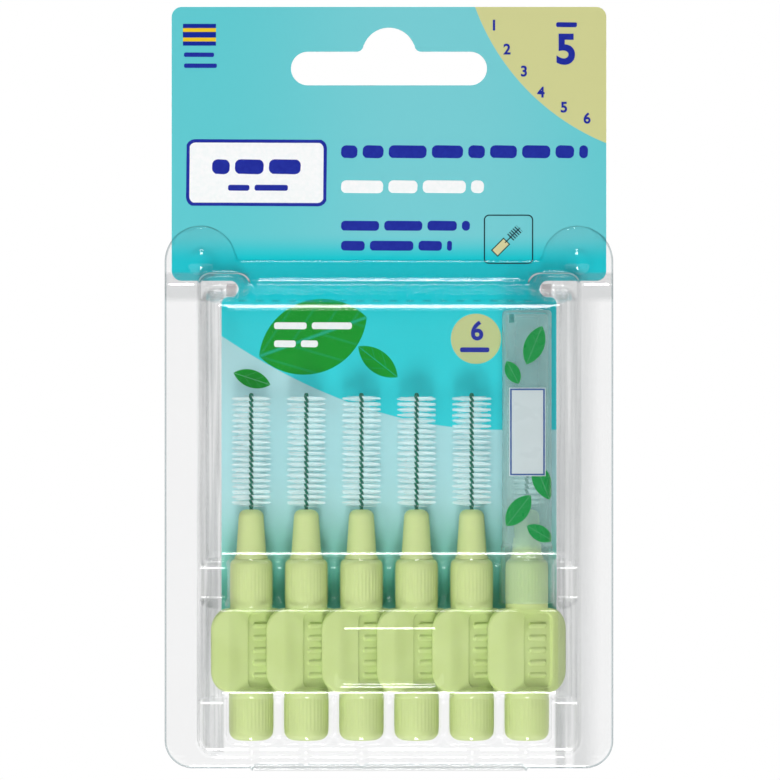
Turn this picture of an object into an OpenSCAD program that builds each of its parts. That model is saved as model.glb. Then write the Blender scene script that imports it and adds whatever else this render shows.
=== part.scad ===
// Retail pack of six twisted-wire brushes.
// A printed card hangs the pack by its slot, and its tongue runs down inside a clear clamshell.
// The clamshell's front half swings down about a rolled fold at the bottom edge.
// The origin is the middle of the hang slot. +Z is up, and the front looks along -Y.

/* [Brush handle] */
// Radius of the round tail
tail_r = 4; // [3:0.1:4.2]
// Height of the tail
tail_h = 8.5; // [6:0.5:12]
// Width of the flat grip pad
pad_w = 15; // [12:0.1:15.2]
// Height of the grip pad
pad_h = 14.9; // [12:0.1:18]
// Thickness of the grip pad at its flat face
pad_t = 3; // [2:0.1:3.1]
// Thickness of the grip pad at its thin side edges
pad_edge_t = 1; // [0.6:0.1:1.4]
// Width of the pad's flat face between its bevelled sides
pad_flat_w = 9.2; // [7:0.1:10]
// Corner radius of the pad
pad_corner_r = 3.5; // [1:0.5:4]
// Turn of each pad about its own axis, so that neighbours lie like shingles
pad_tilt = 20; // [19:0.5:24]
// Radius of the ribbed collar
collar_r = 3.8; // [3.4:0.1:4]
// Height of the collar
collar_h = 8.7; // [7:0.1:11]
// Number of ribs round the collar and the tail
rib_count = 32; // [16:4:40]
// Height of a rib
rib_h = 0.09; // [0.05:0.01:0.15]
// Radius of the neck at its foot
neck_foot_r = 2.7; // [2.4:0.1:3]
// Radius of the neck at its top
neck_top_r = 2.15; // [1.8:0.05:2.3]
// Height of the neck
neck_h = 8.8; // [6:0.1:11]
// Rounding of the handle's ends
end_round_r = 1; // [0.5:0.1:1]

/* [Brush head] */
// Length of the brush head above the neck
head_h = 20.7; // [14:0.1:24]
// Radius over the bristles
bristle_r = 3.5; // [2:0.1:3.6]
// Half width of a filament bundle
filament_r = 0.1; // [0.07:0.01:0.12]
// Filament bundles through the wire of one brush
filament_count = 52; // [40:1:60]
// Radius over the two twisted strands of wire
wire_r = 0.42; // [0.35:0.01:0.5]
// Height of one turn of the twist
twist_pitch = 1.94; // [1.2:0.02:2.2]
// Depth of the wire inside the neck
wire_anchor_h = 7; // [4:0.5:8]

/* [Travel cap] */
// Width across the flats of the cap
cap_w = 8.6; // [8.3:0.1:8.8]
// Radius of the round skirt that grips the collar
cap_skirt_r = 4.6; // [4.4:0.05:4.7]
// Height of the skirt
cap_skirt_h = 9.9; // [9.6:0.1:12]
// Height of the whole cap
cap_h = 51.9; // [46:0.1:56]
// Corner radius of the cap
cap_corner_r = 1.8; // [1:0.1:2.4]
// Radial clearance between the cap and the collar
cap_fit_gap = 0.06; // [0.02:0.01:0.1]

/* [Row] */
// Distance between neighbouring brushes
brush_pitch = 9.78; // [9.7:0.01:10.4]

/* [Clamshell] */
// Thickness of the clear sheet
sheet_t = 0.35; // [0.25:0.05:0.45]
// Width of the side flanges
flange_w = 5.6; // [4.5:0.1:8]
// Height of the flange above the tray
top_flange_h = 4.25; // [4:0.05:6]
// Corner radius at the bottom of the flange
flange_corner_r = 5; // [3:0.5:6]
// Radius of the round ears at the top
ear_r = 6.4; // [5:0.1:7]
// Radius of the snap domes in the ears
dome_r = 2; // [1.5:0.1:2.6]
// Depth of the valleys between the channels
valley_d = 2; // [1.4:0.1:2.6]
// Depth of the back pan
pan_d = 2; // [1.2:0.1:3]
// Slope of the tray's side walls, seen from the front
side_draft_w = 2.7; // [2.3:0.1:3]
// Slope of the tray's top wall, seen from the front
top_draft_h = 4.2; // [3:0.1:5]
// Slope of the tray's bottom wall, seen from the front
foot_draft_h = 1.4; // [1:0.1:1.7]
// Clearance between the channels and the brushes
channel_gap = 0.15; // [0.1:0.01:0.2]
// Radius of the living hinge's roll
hinge_r = 0.45; // [0.35:0.01:0.5]
// Length of the living hinge
hinge_w = 48; // [30:1:56]

/* [Hang card] */
// Thickness of the card
card_t = 0.4; // [0.3:0.05:0.6]
// Height of the card's header
header_h = 48.9; // [40:0.1:60]
// Corner radius of the header
header_corner_r = 1.8; // [1:0.1:3]
// Width of the neck between the side notches
card_neck_w = 53.8; // [40:0.1:56]
// Width of the tongue behind the brushes
tongue_w = 59.8; // [56:0.1:60]
// Length of the hang slot
slot_w = 35; // [30:0.5:36]
// Height of the hang slot's arms
slot_h = 6; // [5:0.1:7]
// Radius of the round crown over the slot's middle
crown_r = 4.8; // [4.2:0.1:5.4]
// Distance from the card's top edge to the slot's middle
slot_drop = 11; // [9:0.1:14]

/* [Hidden] */
$fn = 64;
brush_count = 6;
over = 0.5;

// Small places of the handle and the head
row_gap = 0.2;
wire_gap = 0.03;
recess_d = 0.2;
recess_w = 5.2;
recess_margin = 0.8;
recess_shift = 1.6;
grip_bar_w = 3.2;
grip_bar_t = 0.7;
grip_bar_count = 5;
rib_margin = 1.2;
core_r = 0.16;
first_filament = 0.5;
slices_per_turn = 6;

// Small places of the cap
cap_seat_gap = 0.9;
cap_roof_t = 0.7;
vent_w = 0.9;
vent_h = 1.5;
vent_inset = 1.1;

// Small places of the clamshell
foot_gap = 3.4;
face_gap = 0.45;
top_gap = 0.7;
row_margin = 3.05;
tray_foot = 2.5;
tray_corner_r = 3.5;
face_corner_r = 1.8;
channel_foot_gap = 0.4;
channel_foot_bevel = 0.8;
collar_step_drop = 0.4;
collar_step_rise = 1.46;
pocket_roof_rise = 0.5;
pocket_roof_draft = 1.3;
pocket_floor_drop = 1.3;
pocket_floor_draft = 1.84;
panel_w = 19.2;
panel_h = 10.2;
panel_d = 0.35;
panel_drop = 0.9;
panel_corner_r = 1.6;
ear_drop = 0.35;
ear_blend_r = 1.5;
dome_rise = 1;
stud_r = 0.6;
stud_d = 0.3;
stud_inset = 2.1;
stud_share = 0.78;
lug_w = 9;
lug_rise = 2.2;
lug_d = 3.6;
lug_corner_r = 1.6;
fold_gap = 0.05;
card_gap = 0.5;
notch_h = 2.9;
tongue_end_r = 1.2;
tongue_overlap = 9;
crown_rise = 2.5;
crown_blend_r = 1.2;

// Heights above the pack's bottom edge
foot_z = tray_foot + foot_gap;
pad_z = foot_z + tail_h;
collar_z = pad_z + pad_h;
neck_z = collar_z + collar_h;
head_z = neck_z + neck_h;
tip_z = head_z + head_h;
cap_z = collar_z + cap_seat_gap;
cap_top_z = cap_z + cap_h;
face_top_z = max(cap_top_z, tip_z) + top_gap;
tray_top_z = face_top_z + top_draft_h;
flange_top_z = tray_top_z + top_flange_h;
ear_z = flange_top_z - ear_drop;
header_z = tray_top_z + card_gap;
card_top_z = header_z + header_h;
slot_z = card_top_z - slot_drop;

// Depths in front of the parting plane
axis_d = card_t / 2 + row_gap + cap_skirt_r;
face_d = axis_d + cap_skirt_r + face_gap + sheet_t;

// Widths of the pack
face_w = (brush_count - 1) * brush_pitch + 2 * (cap_skirt_r + row_margin - sheet_t);
tray_w = face_w + 2 * side_draft_w;
pack_w = tray_w + 2 * flange_w;
header_w = pack_w - 5 * card_gap;
ear_x = pack_w / 2 - ear_r;

// Puts what is measured from the pack's bottom edge into the frame of the hang slot
module in_pack() {
    translate([0, 0, -slot_z]) children();
}

// Stands a flat outline up, facing forward, from one depth to another
module stand_up(from_d, to_d) {
    translate([0, -from_d, 0]) rotate([90, 0, 0]) linear_extrude(to_d - from_d) children();
}

// Centre of a brush across the row, counted from 1 at the left
function brush_x(i) = (i - (brush_count + 1) / 2) * brush_pitch;

module at_brush(i) {
    in_pack() translate([brush_x(i), -axis_d, 0]) children();
}

// Rectangle with round corners, from its lower left corner
module round_rect(w, h, r) {
    translate([r, 0]) square([w - 2 * r, h]);
    translate([0, r]) square([w, h - 2 * r]);
    for (x = [r, w - r], y = [r, h - r]) translate([x, y]) circle(r);
}

// Turned body with a rounded end at its foot
module round_foot(r, h, e) {
    rotate_extrude() {
        translate([0, e]) square([r, h - e]);
        square([r - e, e]);
        translate([r - e, e]) circle(e, $fn = 32);
    }
}

// Band of fine upright ribs round a cylinder
module rib_band(r, h) {
    step = 180 / rib_count;
    linear_extrude(h) polygon([for (i = [0:2 * rib_count - 1])
        (i % 2 == 0 ? r : r - rib_h) * [cos(i * step), sin(i * step)]]);
}

// Fairing that runs out of a round body, at its foot, into the flat pad
module fairing(r) {
    cylinder(r1 = r, r2 = pad_t / 2, h = pad_corner_r);
}

module tail() {
    body_r = tail_r - rib_h;
    round_foot(body_r, tail_h, end_round_r);
    translate([0, 0, rib_margin]) rib_band(tail_r, tail_h - rib_margin);
    translate([0, 0, tail_h]) fairing(body_r);
}

// Cross section of the pad: a flat face on both sides, bevelled to thin round edges
module pad_section() {
    edge_r = pad_edge_t / 2;
    edge_x = pad_w / 2 - edge_r;
    polygon([
        [-edge_x, -edge_r], [-pad_flat_w / 2, -pad_t / 2], [pad_flat_w / 2, -pad_t / 2],
        [edge_x, -edge_r], [edge_x, edge_r], [pad_flat_w / 2, pad_t / 2],
        [-pad_flat_w / 2, pad_t / 2], [-edge_x, edge_r]
    ]);
    for (x = [-edge_x, edge_x]) translate([x, 0]) circle(edge_r, $fn = 32);
}

// Shallow framed recess in the pad's face, with plain grip bars left standing in it
module grip_recess() {
    recess_h = pad_h - 2 * recess_margin;
    bar_step = recess_h / (grip_bar_count + 1);
    translate([recess_shift - recess_w / 2, 0, recess_margin])
        stand_up(pad_t / 2 - recess_d, pad_t / 2 + over) difference() {
            round_rect(recess_w, recess_h, recess_w / 4);
            for (i = [1:grip_bar_count])
                translate([(recess_w - grip_bar_w) / 2, i * bar_step - grip_bar_t / 2])
                    square([grip_bar_w, grip_bar_t]);
        }
}

module pad() {
    rotate([0, 0, pad_tilt]) difference() {
        intersection() {
            linear_extrude(pad_h) pad_section();
            translate([-pad_w / 2, 0, 0]) stand_up(-pad_t, pad_t) round_rect(pad_w, pad_h, pad_corner_r);
        }
        grip_recess();
    }
}

// Collar with a rounded shoulder, ribbed between plain margins
module collar() {
    body_r = collar_r - rib_h;
    translate([0, 0, collar_h]) mirror([0, 0, 1]) round_foot(body_r, collar_h, end_round_r);
    translate([0, 0, rib_margin]) rib_band(collar_r, collar_h - 2 * rib_margin);
    mirror([0, 0, 1]) fairing(body_r);
}

// Tapered neck with a rounded nose
module neck() {
    nose_x = neck_top_r - end_round_r;
    nose_z = neck_h - end_round_r;
    rotate_extrude() {
        polygon([[0, 0], [neck_foot_r, 0], [neck_top_r, nose_z], [nose_x, neck_h], [0, neck_h]]);
        translate([nose_x, nose_z]) circle(end_round_r, $fn = 32);
    }
}

module handle(i) {
    color([0.76, 0.85, 0.55]) at_brush(i) difference() {
        union() {
            translate([0, 0, foot_z]) tail();
            translate([0, 0, pad_z]) pad();
            translate([0, 0, collar_z]) collar();
            translate([0, 0, neck_z]) neck();
        }
        translate([0, 0, head_z - wire_anchor_h])
            cylinder(r = wire_r + wire_gap, h = wire_anchor_h + over);
    }
}

// Outline across both strands of the wire
module wire_section() {
    lobe_x = wire_r;
    lobe_y = wire_r * 0.45;
    polygon([
        [lobe_x, 0], [lobe_x / 2, lobe_y], [-lobe_x / 2, lobe_y],
        [-lobe_x, 0], [-lobe_x / 2, -lobe_y], [lobe_x / 2, -lobe_y]
    ]);
}

// Twisted wire from its anchor in the neck to the tip of the brush
module wire(i) {
    wire_h = wire_anchor_h + head_h;
    turns = wire_h / twist_pitch;
    color([0.05, 0.42, 0.3]) at_brush(i) translate([0, 0, head_z - wire_anchor_h])
        linear_extrude(wire_h, twist = 360 * turns, slices = ceil(turns * slices_per_turn), $fn = 6)
            wire_section();
}

// Filament bundles on a slice of the wire, each turned with the twist where it is pinched
module bristles(i) {
    step = (head_h - 2 * first_filament) / (filament_count - 1);
    color([0.93, 0.97, 0.96]) at_brush(i) translate([0, 0, head_z + first_filament]) {
        translate([0, 0, -filament_r])
            cylinder(r = core_r, h = head_h - 2 * first_filament + 2 * filament_r, $fn = 6);
        for (k = [0:filament_count - 1])
            translate([0, 0, k * step])
                rotate([90, 0, -360 * k * step / twist_pitch])
                    cylinder(r = filament_r, h = 2 * bristle_r, center = true, $fn = 4);
    }
}

// Cap outline: a square tube with rounded corners
module cap_section() {
    translate([-cap_w / 2, -cap_w / 2]) round_rect(cap_w, cap_w, cap_corner_r);
}

module travel_cap() {
    bore_r = collar_r + cap_fit_gap;
    color([0.78, 0.9, 0.86, 0.6]) at_brush(brush_count) translate([0, 0, cap_z]) difference() {
        union() {
            cylinder(r = cap_skirt_r, h = cap_skirt_h);
            translate([0, 0, cap_skirt_h]) linear_extrude(cap_h - cap_skirt_h) cap_section();
        }
        translate([0, 0, -over]) cylinder(r = bore_r, h = cap_h - cap_roof_t + over);
        translate([-cap_w / 2 + vent_inset, -cap_w / 2 - over, cap_h - cap_roof_t - vent_h])
            cube([vent_w, cap_w / 2, vent_h]);
    }
}

// Flange outline of one half, seen from the front
module flange_outline() {
    translate([-pack_w / 2, hinge_r]) {
        round_rect(pack_w, flange_top_z / 2, flange_corner_r);
        translate([0, flange_corner_r]) square([pack_w, flange_top_z - hinge_r - flange_corner_r]);
    }
    for (side = [-1, 1]) {
        translate([side * ear_x, ear_z]) circle(ear_r);
        ear_blend(side);
    }
}

// Hollow blend between an ear and the flange's straight top edge
module ear_blend(side) {
    reach = sqrt(pow(ear_r + ear_blend_r, 2) - pow(ear_drop + ear_blend_r, 2));
    blend_x = side * (ear_x - reach);
    difference() {
        translate([min(blend_x, side * ear_x), flange_top_z - over])
            square([reach, ear_blend_r + over - ear_drop]);
        translate([blend_x, flange_top_z + ear_blend_r]) circle(ear_blend_r);
    }
}

// Flange sheet of one half: flat below the card, stepped out by half the card above it
module flange_sheet() {
    step_z = tray_top_z;
    lift = card_t / 2;
    stand_up(0, sheet_t) intersection() {
        flange_outline();
        translate([-pack_w / 2, 0]) square([pack_w, step_z]);
    }
    stand_up(lift, lift + sheet_t) intersection() {
        flange_outline();
        translate([-pack_w / 2, step_z - sheet_t]) square([pack_w, flange_top_z]);
    }
}

// Drafted tray form between its base and its face, drawn in by one sheet where it is a hollow
module tray_form(depth, draft_w, foot_h, top_h, inset) {
    base_r = tray_corner_r - inset;
    face_r = face_corner_r - inset;
    thin = sheet_t / 10;
    base_z = tray_foot + inset;
    hull() {
        translate([-tray_w / 2 + inset, 0, base_z]) stand_up(0, thin)
            round_rect(tray_w - 2 * inset, tray_top_z - tray_foot - 2 * inset, base_r, $fn = 32);
        translate([-tray_w / 2 + draft_w + inset, 0, base_z + foot_h])
            stand_up(depth - inset - thin, depth - inset)
                round_rect(tray_w - 2 * draft_w - 2 * inset,
                    tray_top_z - tray_foot - foot_h - top_h - 2 * inset, face_r, $fn = 32);
    }
}

// Side profile of the tray's front: how far out its face lies at each height
module front_profile(inset) {
    face = face_d - inset;
    valley = valley_d - inset;
    floor_z = pad_z - pocket_floor_drop + inset;
    roof_z = collar_z + pocket_roof_rise - inset;
    step_z = neck_z + collar_step_rise + inset;
    translate([-tray_w, 0, 0]) rotate([90, 0, 90]) linear_extrude(2 * tray_w) mirror([1, 0]) polygon([
        [-over, 0], [valley, 0],
        [valley, floor_z - pocket_floor_draft], [face, floor_z],
        [face, roof_z], [valley, roof_z + pocket_roof_draft],
        [valley, step_z - collar_step_drop - collar_step_rise], [face, step_z],
        [face, tray_top_z], [-over, tray_top_z]
    ]);
}

// Half-round channel over one brush, open at its back
module channel(i, r, from_z, to_z) {
    translate([brush_x(i), 0, from_z]) linear_extrude(to_z - from_z) {
        translate([0, -axis_d]) circle(r);
        translate([-r, -axis_d]) square([2 * r, axis_d]);
    }
}

// Channel over a tail, with a bevelled foot
module tail_channel(i, inset) {
    r = tail_r + channel_gap + sheet_t - inset;
    foot_r = r - channel_foot_bevel;
    low_z = foot_z - channel_foot_gap - sheet_t + inset;
    channel(i, r, low_z + channel_foot_bevel, pad_z + inset);
    translate([brush_x(i), -axis_d, low_z]) cylinder(r1 = foot_r, r2 = r, h = channel_foot_bevel);
    translate([brush_x(i), 0, low_z]) stand_up(0, axis_d)
        polygon([[-foot_r, 0], [foot_r, 0], [r, channel_foot_bevel], [-r, channel_foot_bevel]]);
}

// Everything that the front half is formed round, outside or, drawn in by one sheet, inside
module front_form(inset) {
    intersection() {
        tray_form(face_d, side_draft_w, foot_draft_h, top_draft_h, inset);
        front_profile(inset);
    }
    for (i = [1:brush_count]) {
        collar_cover = (i == brush_count) ? cap_skirt_r : collar_r;
        channel(i, collar_cover + channel_gap + sheet_t - inset,
            collar_z - inset, neck_z + collar_step_rise + inset);
        tail_channel(i, inset);
    }
    translate([-panel_w / 2 + inset, 0, pad_z + (pad_h - panel_h) / 2 - panel_drop + inset])
        stand_up(valley_d, face_d + panel_d - inset)
            round_rect(panel_w - 2 * inset, panel_h - 2 * inset, panel_corner_r - inset);
    for (side = [-1, 1]) corner_lug(side, inset);
}

// Low lug that stiffens a top corner of the tray
module corner_lug(side, inset) {
    w = lug_w - 2 * inset;
    mid_x = side * (tray_w - lug_w) / 2;
    translate([mid_x - w / 2, 0, tray_top_z - lug_w + inset])
        stand_up(-over * sign(inset), lug_d - inset)
            round_rect(w, lug_w + lug_rise - 2 * inset, lug_corner_r - inset);
}

// Snap dome in an ear
module ear_dome(side, inset) {
    ball_r = (pow(dome_r, 2) + pow(dome_rise, 2)) / (2 * dome_rise);
    base_d = card_t / 2 + sheet_t - inset;
    intersection() {
        translate([side * ear_x, -(base_d + dome_rise - ball_r), ear_z]) sphere(ball_r);
        translate([side * ear_x, 0, ear_z]) stand_up(card_t / 2 - over * sign(inset), face_d) circle(ball_r);
    }
}

// Rolled fold's own space, kept clear of both flanges
module fold_space(gap) {
    translate([-hinge_w / 2 - gap, 0, hinge_r]) rotate([0, 90, 0])
        cylinder(r = hinge_r + gap, h = hinge_w + 2 * gap);
}

// Space of the card between both halves: the header over the tray, the neck through its top wall
module card_space() {
    neck_x = card_neck_w / 2 + card_gap;
    stand_up(-over, card_t / 2) {
        translate([-pack_w / 2, tray_top_z]) square([pack_w, header_h]);
        translate([-neck_x, tray_top_z - lug_w]) square([2 * neck_x, 2 * lug_w]);
    }
}

module front_shell() {
    fold_top_z = 2 * hinge_r + fold_gap;
    color([0.9, 0.95, 0.97, 0.35]) in_pack() difference() {
        union() {
            flange_sheet();
            front_form(0);
            for (side = [-1, 1]) {
                ear_dome(side, 0);
                translate([side * (pack_w / 2 - stud_inset), 0, flange_top_z * stud_share])
                    stand_up(0, sheet_t + stud_d) circle(stud_r);
            }
        }
        front_form(sheet_t);
        for (side = [-1, 1]) ear_dome(side, sheet_t);
        card_space();
        translate([-hinge_w / 2 - fold_gap, -sheet_t - over, 0])
            cube([hinge_w + 2 * fold_gap, sheet_t + 2 * over, fold_top_z]);
        translate([-pack_w, 0, 0]) cube([2 * pack_w, face_d, card_top_z]);
    }
}

module back_shell() {
    color([0.86, 0.92, 0.95, 0.35]) in_pack() mirror([0, 1, 0]) difference() {
        union() {
            flange_sheet();
            tray_form(pan_d, pan_d / 2, pan_d / 2, pan_d / 2, 0);
        }
        translate([0, over, 0]) tray_form(pan_d + over, pan_d / 2, pan_d / 2, pan_d / 2, sheet_t);
        card_space();
        fold_space(0);
    }
}

module living_hinge() {
    color([0.86, 0.92, 0.95, 0.5]) in_pack() fold_space(0);
}

// Hang slot: two round-ended arms under a round crown, blended into each other
module slot_outline() {
    crown_z = slot_z + crown_rise;
    arm_top_z = slot_z + slot_h / 2;
    blend_z = arm_top_z + crown_blend_r;
    reach = sqrt(pow(crown_r + crown_blend_r, 2) - pow(blend_z - crown_z, 2));
    arm_x = (slot_w - slot_h) / 2;
    translate([-arm_x, slot_z - slot_h / 2]) square([2 * arm_x, slot_h]);
    for (side = [-1, 1]) translate([side * arm_x, slot_z]) circle(slot_h / 2);
    translate([0, crown_z]) circle(crown_r);
    difference() {
        translate([-reach, arm_top_z - over]) square([2 * reach, crown_blend_r + over]);
        for (side = [-1, 1]) translate([side * reach, blend_z]) circle(crown_blend_r);
    }
}

module hang_card() {
    notch_z = header_z - notch_h;
    neck_x = card_neck_w / 2;
    tongue_z = collar_z - tongue_overlap;
    notch_r = notch_h / 2;
    color([0.2, 0.76, 0.8]) in_pack() stand_up(-card_t / 2, card_t / 2) difference() {
        union() {
            translate([-header_w / 2, header_z]) round_rect(header_w, header_h, header_corner_r);
            translate([-neck_x - notch_r, notch_z - over])
                square([2 * neck_x + 2 * notch_r, notch_h + 2 * over]);
            translate([-tongue_w / 2, tongue_z])
                round_rect(tongue_w, notch_z - tongue_z, tongue_end_r);
        }
        for (side = [-1, 1]) translate([side * (neck_x + notch_r), notch_z + notch_r]) {
            circle(notch_r);
            translate([side > 0 ? 0 : -notch_r - over, -notch_r])
                square([notch_r + over, notch_h]);
        }
        slot_outline();
    }
}

hang_card();
front_shell();
back_shell();
living_hinge();
for (i = [1:brush_count]) handle(i);
for (i = [1:brush_count]) wire(i);
for (i = [1:brush_count]) bristles(i);
travel_cap();
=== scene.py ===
import math

import bpy
import numpy as np
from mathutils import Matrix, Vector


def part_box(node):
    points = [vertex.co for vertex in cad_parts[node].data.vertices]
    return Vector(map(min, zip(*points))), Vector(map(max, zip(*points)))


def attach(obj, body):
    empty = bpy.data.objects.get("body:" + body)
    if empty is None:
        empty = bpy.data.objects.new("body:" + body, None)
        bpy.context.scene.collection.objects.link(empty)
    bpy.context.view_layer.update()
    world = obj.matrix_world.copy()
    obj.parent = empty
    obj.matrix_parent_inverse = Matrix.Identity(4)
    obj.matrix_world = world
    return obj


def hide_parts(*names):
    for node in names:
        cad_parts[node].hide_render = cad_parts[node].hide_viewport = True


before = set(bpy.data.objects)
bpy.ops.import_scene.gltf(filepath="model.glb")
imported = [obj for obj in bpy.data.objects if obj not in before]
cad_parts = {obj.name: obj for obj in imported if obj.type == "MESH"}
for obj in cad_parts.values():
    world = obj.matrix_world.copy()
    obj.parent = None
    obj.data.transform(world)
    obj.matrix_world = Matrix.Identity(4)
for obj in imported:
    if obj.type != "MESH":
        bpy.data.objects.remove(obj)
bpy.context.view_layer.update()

mm = 0.001
brushCount = 6
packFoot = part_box("living_hinge")[0].z / mm  # bottom edge of the pack, in the hang slot's frame
wireBoxes = [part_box(f"wire_{i + 1}") for i in range(brushCount)]
axisDepth = -(wireBoxes[0][0].y + wireBoxes[0][1].y) / 2 / mm  # of the brushes, before the parting plane
brushX = [(low.x + high.x) / 2 / mm for low, high in wireBoxes]
print("scene: frame read, brushes at", [round(x, 2) for x in brushX], "depth", round(axisDepth, 2))

photo = {"scale": 5.6, "column": 389, "row": 771}  # pixels a millimetre, and the pack's middle and foot


def px(column, row):
    # a place in the photograph as millimetres across and up in the hang slot's frame
    return (column - photo["column"]) / photo["scale"], (photo["row"] - row) / photo["scale"] + packFoot


def rowHeight(row):
    return px(0, row)[1]


def nodeHeights(node):
    # lowest and highest point of a CAD node, in millimetres above the pack's foot
    low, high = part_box(node)
    return low.z / mm - packFoot, high.z / mm - packFoot


# shapes

def toFrame(x, depth, height):
    # millimetres across, in front of the parting plane and above the pack's foot, as points of the frame
    x, depth, height = np.broadcast_arrays(x, depth, height)
    return np.stack([x, -depth, height + packFoot], -1) * mm


def ease(t):
    # 3t^2 - 2t^3, held to 0 and 1 outside
    t = np.clip(t, 0.0, 1.0)
    return t * t * (3 - 2 * t)


def opening(count):
    # 0 to 1 along a quarter circle, slow at first: 1 - cos
    return 1 - np.cos(np.linspace(0, math.pi / 2, count))


def closing(count):
    # 0 to 1 along a quarter circle, slow at last: sin
    return np.sin(np.linspace(0, math.pi / 2, count))


def softLeast(a, b, k):
    # the lesser of a and b, rounded off by h^2 k / 4 where they come within k, with h = 1 - |a - b| / k
    h = np.maximum(k - np.abs(a - b), 0) / k
    return np.minimum(a, b) - h * h * k / 4


def softMost(a, b, k):
    # the greater of a and b, rounded off in the same way
    return -softLeast(-a, -b, k)


def roundedEnd(size, r, within):
    # half a size that ends in a quarter circle: size - r + sqrt(r^2 - (r - within)^2), whole from r inwards
    return size - r + np.sqrt(np.maximum(r * r - np.maximum(r - within, 0) ** 2, 0))


def roundedBox(x, z, halfWidth, halfHeight, radius):
    # distance to a rounded rectangle about the origin, negative inside: the length of what lies past the
    # corner circle's middle, or the greater of the two where nothing does, less the radius
    qx, qz = np.abs(x) - halfWidth + radius, np.abs(z) - halfHeight + radius
    return np.hypot(np.maximum(qx, 0), np.maximum(qz, 0)) + np.minimum(np.maximum(qx, qz), 0) - radius


def roundedPath(corners):
    # a bent line with an arc of the given radius at each corner, as points: the arc starts
    # radius * tan(turn / 2) before the corner
    places = [np.array(corners[0][:2], float)]
    for a, b, c in zip(corners, corners[1:], corners[2:]):
        before, corner, after = (np.array(p[:2], float) for p in (a, b, c))
        u = (corner - before) / np.linalg.norm(corner - before)
        v = (after - corner) / np.linalg.norm(after - corner)
        turn = math.acos(float(np.clip(u @ v, -1, 1)))
        cut = b[2] * math.tan(turn / 2)
        side = np.sign(u[0] * v[1] - u[1] * v[0])
        centre = corner - u * cut + np.array([-u[1], u[0]]) * side * b[2]
        start = corner - u * cut - centre
        for t in np.linspace(0, turn, 13) * side:
            c, s = math.cos(t), math.sin(t)
            places.append(centre + [start[0] * c - start[1] * s, start[0] * s + start[1] * c])
    places.append(np.array(corners[-1][:2], float))
    return np.array(places).T


def thinned(values, gap):
    # sorted values, with those closer than gap to the last one kept left out
    kept = []
    for value in np.sort(np.asarray(values, float)):
        if not kept or value - kept[-1] >= gap:
            kept.append(value)
    return np.array(kept)


def gridQuads(rows, columns, around=False):
    # corner numbers of the cells between neighbouring rows and columns
    index = np.arange(rows * columns).reshape(rows, columns)
    right = np.roll(index, -1, 1) if around else index[:, 1:]
    left = index if around else index[:, :-1]
    return np.stack([left[:-1], right[:-1], right[1:], left[1:]], -1).reshape(-1, 4)


def tube(points, foot, top):
    # rows of rings as a closed skin, with a fan to the point foot below and to the point top above
    rows, columns = points.shape[:2]
    flat = points.reshape(-1, 3)
    ring = np.arange(columns)
    fans = []
    for centre, first, flip in ((foot, 0, True), (top, (rows - 1) * columns, False)):
        a, b = ring + first, np.roll(ring, -1) + first
        middle = np.full(columns, len(flat))
        fans.append(np.stack([middle, b, a] if flip else [middle, a, b], -1))
        flat = np.vstack([flat, centre])
    return flat, gridQuads(rows, columns, around=True), np.vstack(fans)


def joined(parts):
    # several skins as one
    points, quads, triangles, start = [], [], [], 0
    for flat, four, three in parts:
        points.append(flat)
        quads.append(four + start)
        triangles.append(three + start)
        start += len(flat)
    return np.vstack(points), np.vstack(quads), np.vstack(triangles)


def settle(name, mesh, finish, body, replaced=()):
    # an object of the mesh in its finish, which rides on its body
    mesh.materials.clear()
    mesh.materials.append(finish)
    piece = bpy.data.objects.new(name, mesh)
    bpy.context.scene.collection.objects.link(piece)
    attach(piece, body)
    if replaced:
        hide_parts(*replaced)
    return piece


def makePiece(name, skin, finish, body, smooth=True, replaced=()):
    # a piece from (points, quads, triangles)
    points, quads, triangles = skin
    mesh = bpy.data.meshes.new(name)
    corners = np.concatenate([quads.ravel(), triangles.ravel()]).astype(np.int32)
    starts = np.concatenate([np.arange(len(quads)) * 4, len(quads) * 4 + np.arange(len(triangles)) * 3])
    mesh.vertices.add(len(points))
    mesh.vertices.foreach_set("co", np.asarray(points, np.float32).ravel())
    mesh.loops.add(len(corners))
    mesh.loops.foreach_set("vertex_index", corners)
    mesh.polygons.add(len(starts))
    mesh.polygons.foreach_set("loop_start", starts.astype(np.int32))
    mesh.polygons.foreach_set("use_smooth", np.full(len(starts), smooth))
    mesh.update(calc_edges=True)
    mesh.validate()
    return settle(name, mesh, finish, body, replaced)


# finishes

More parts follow.
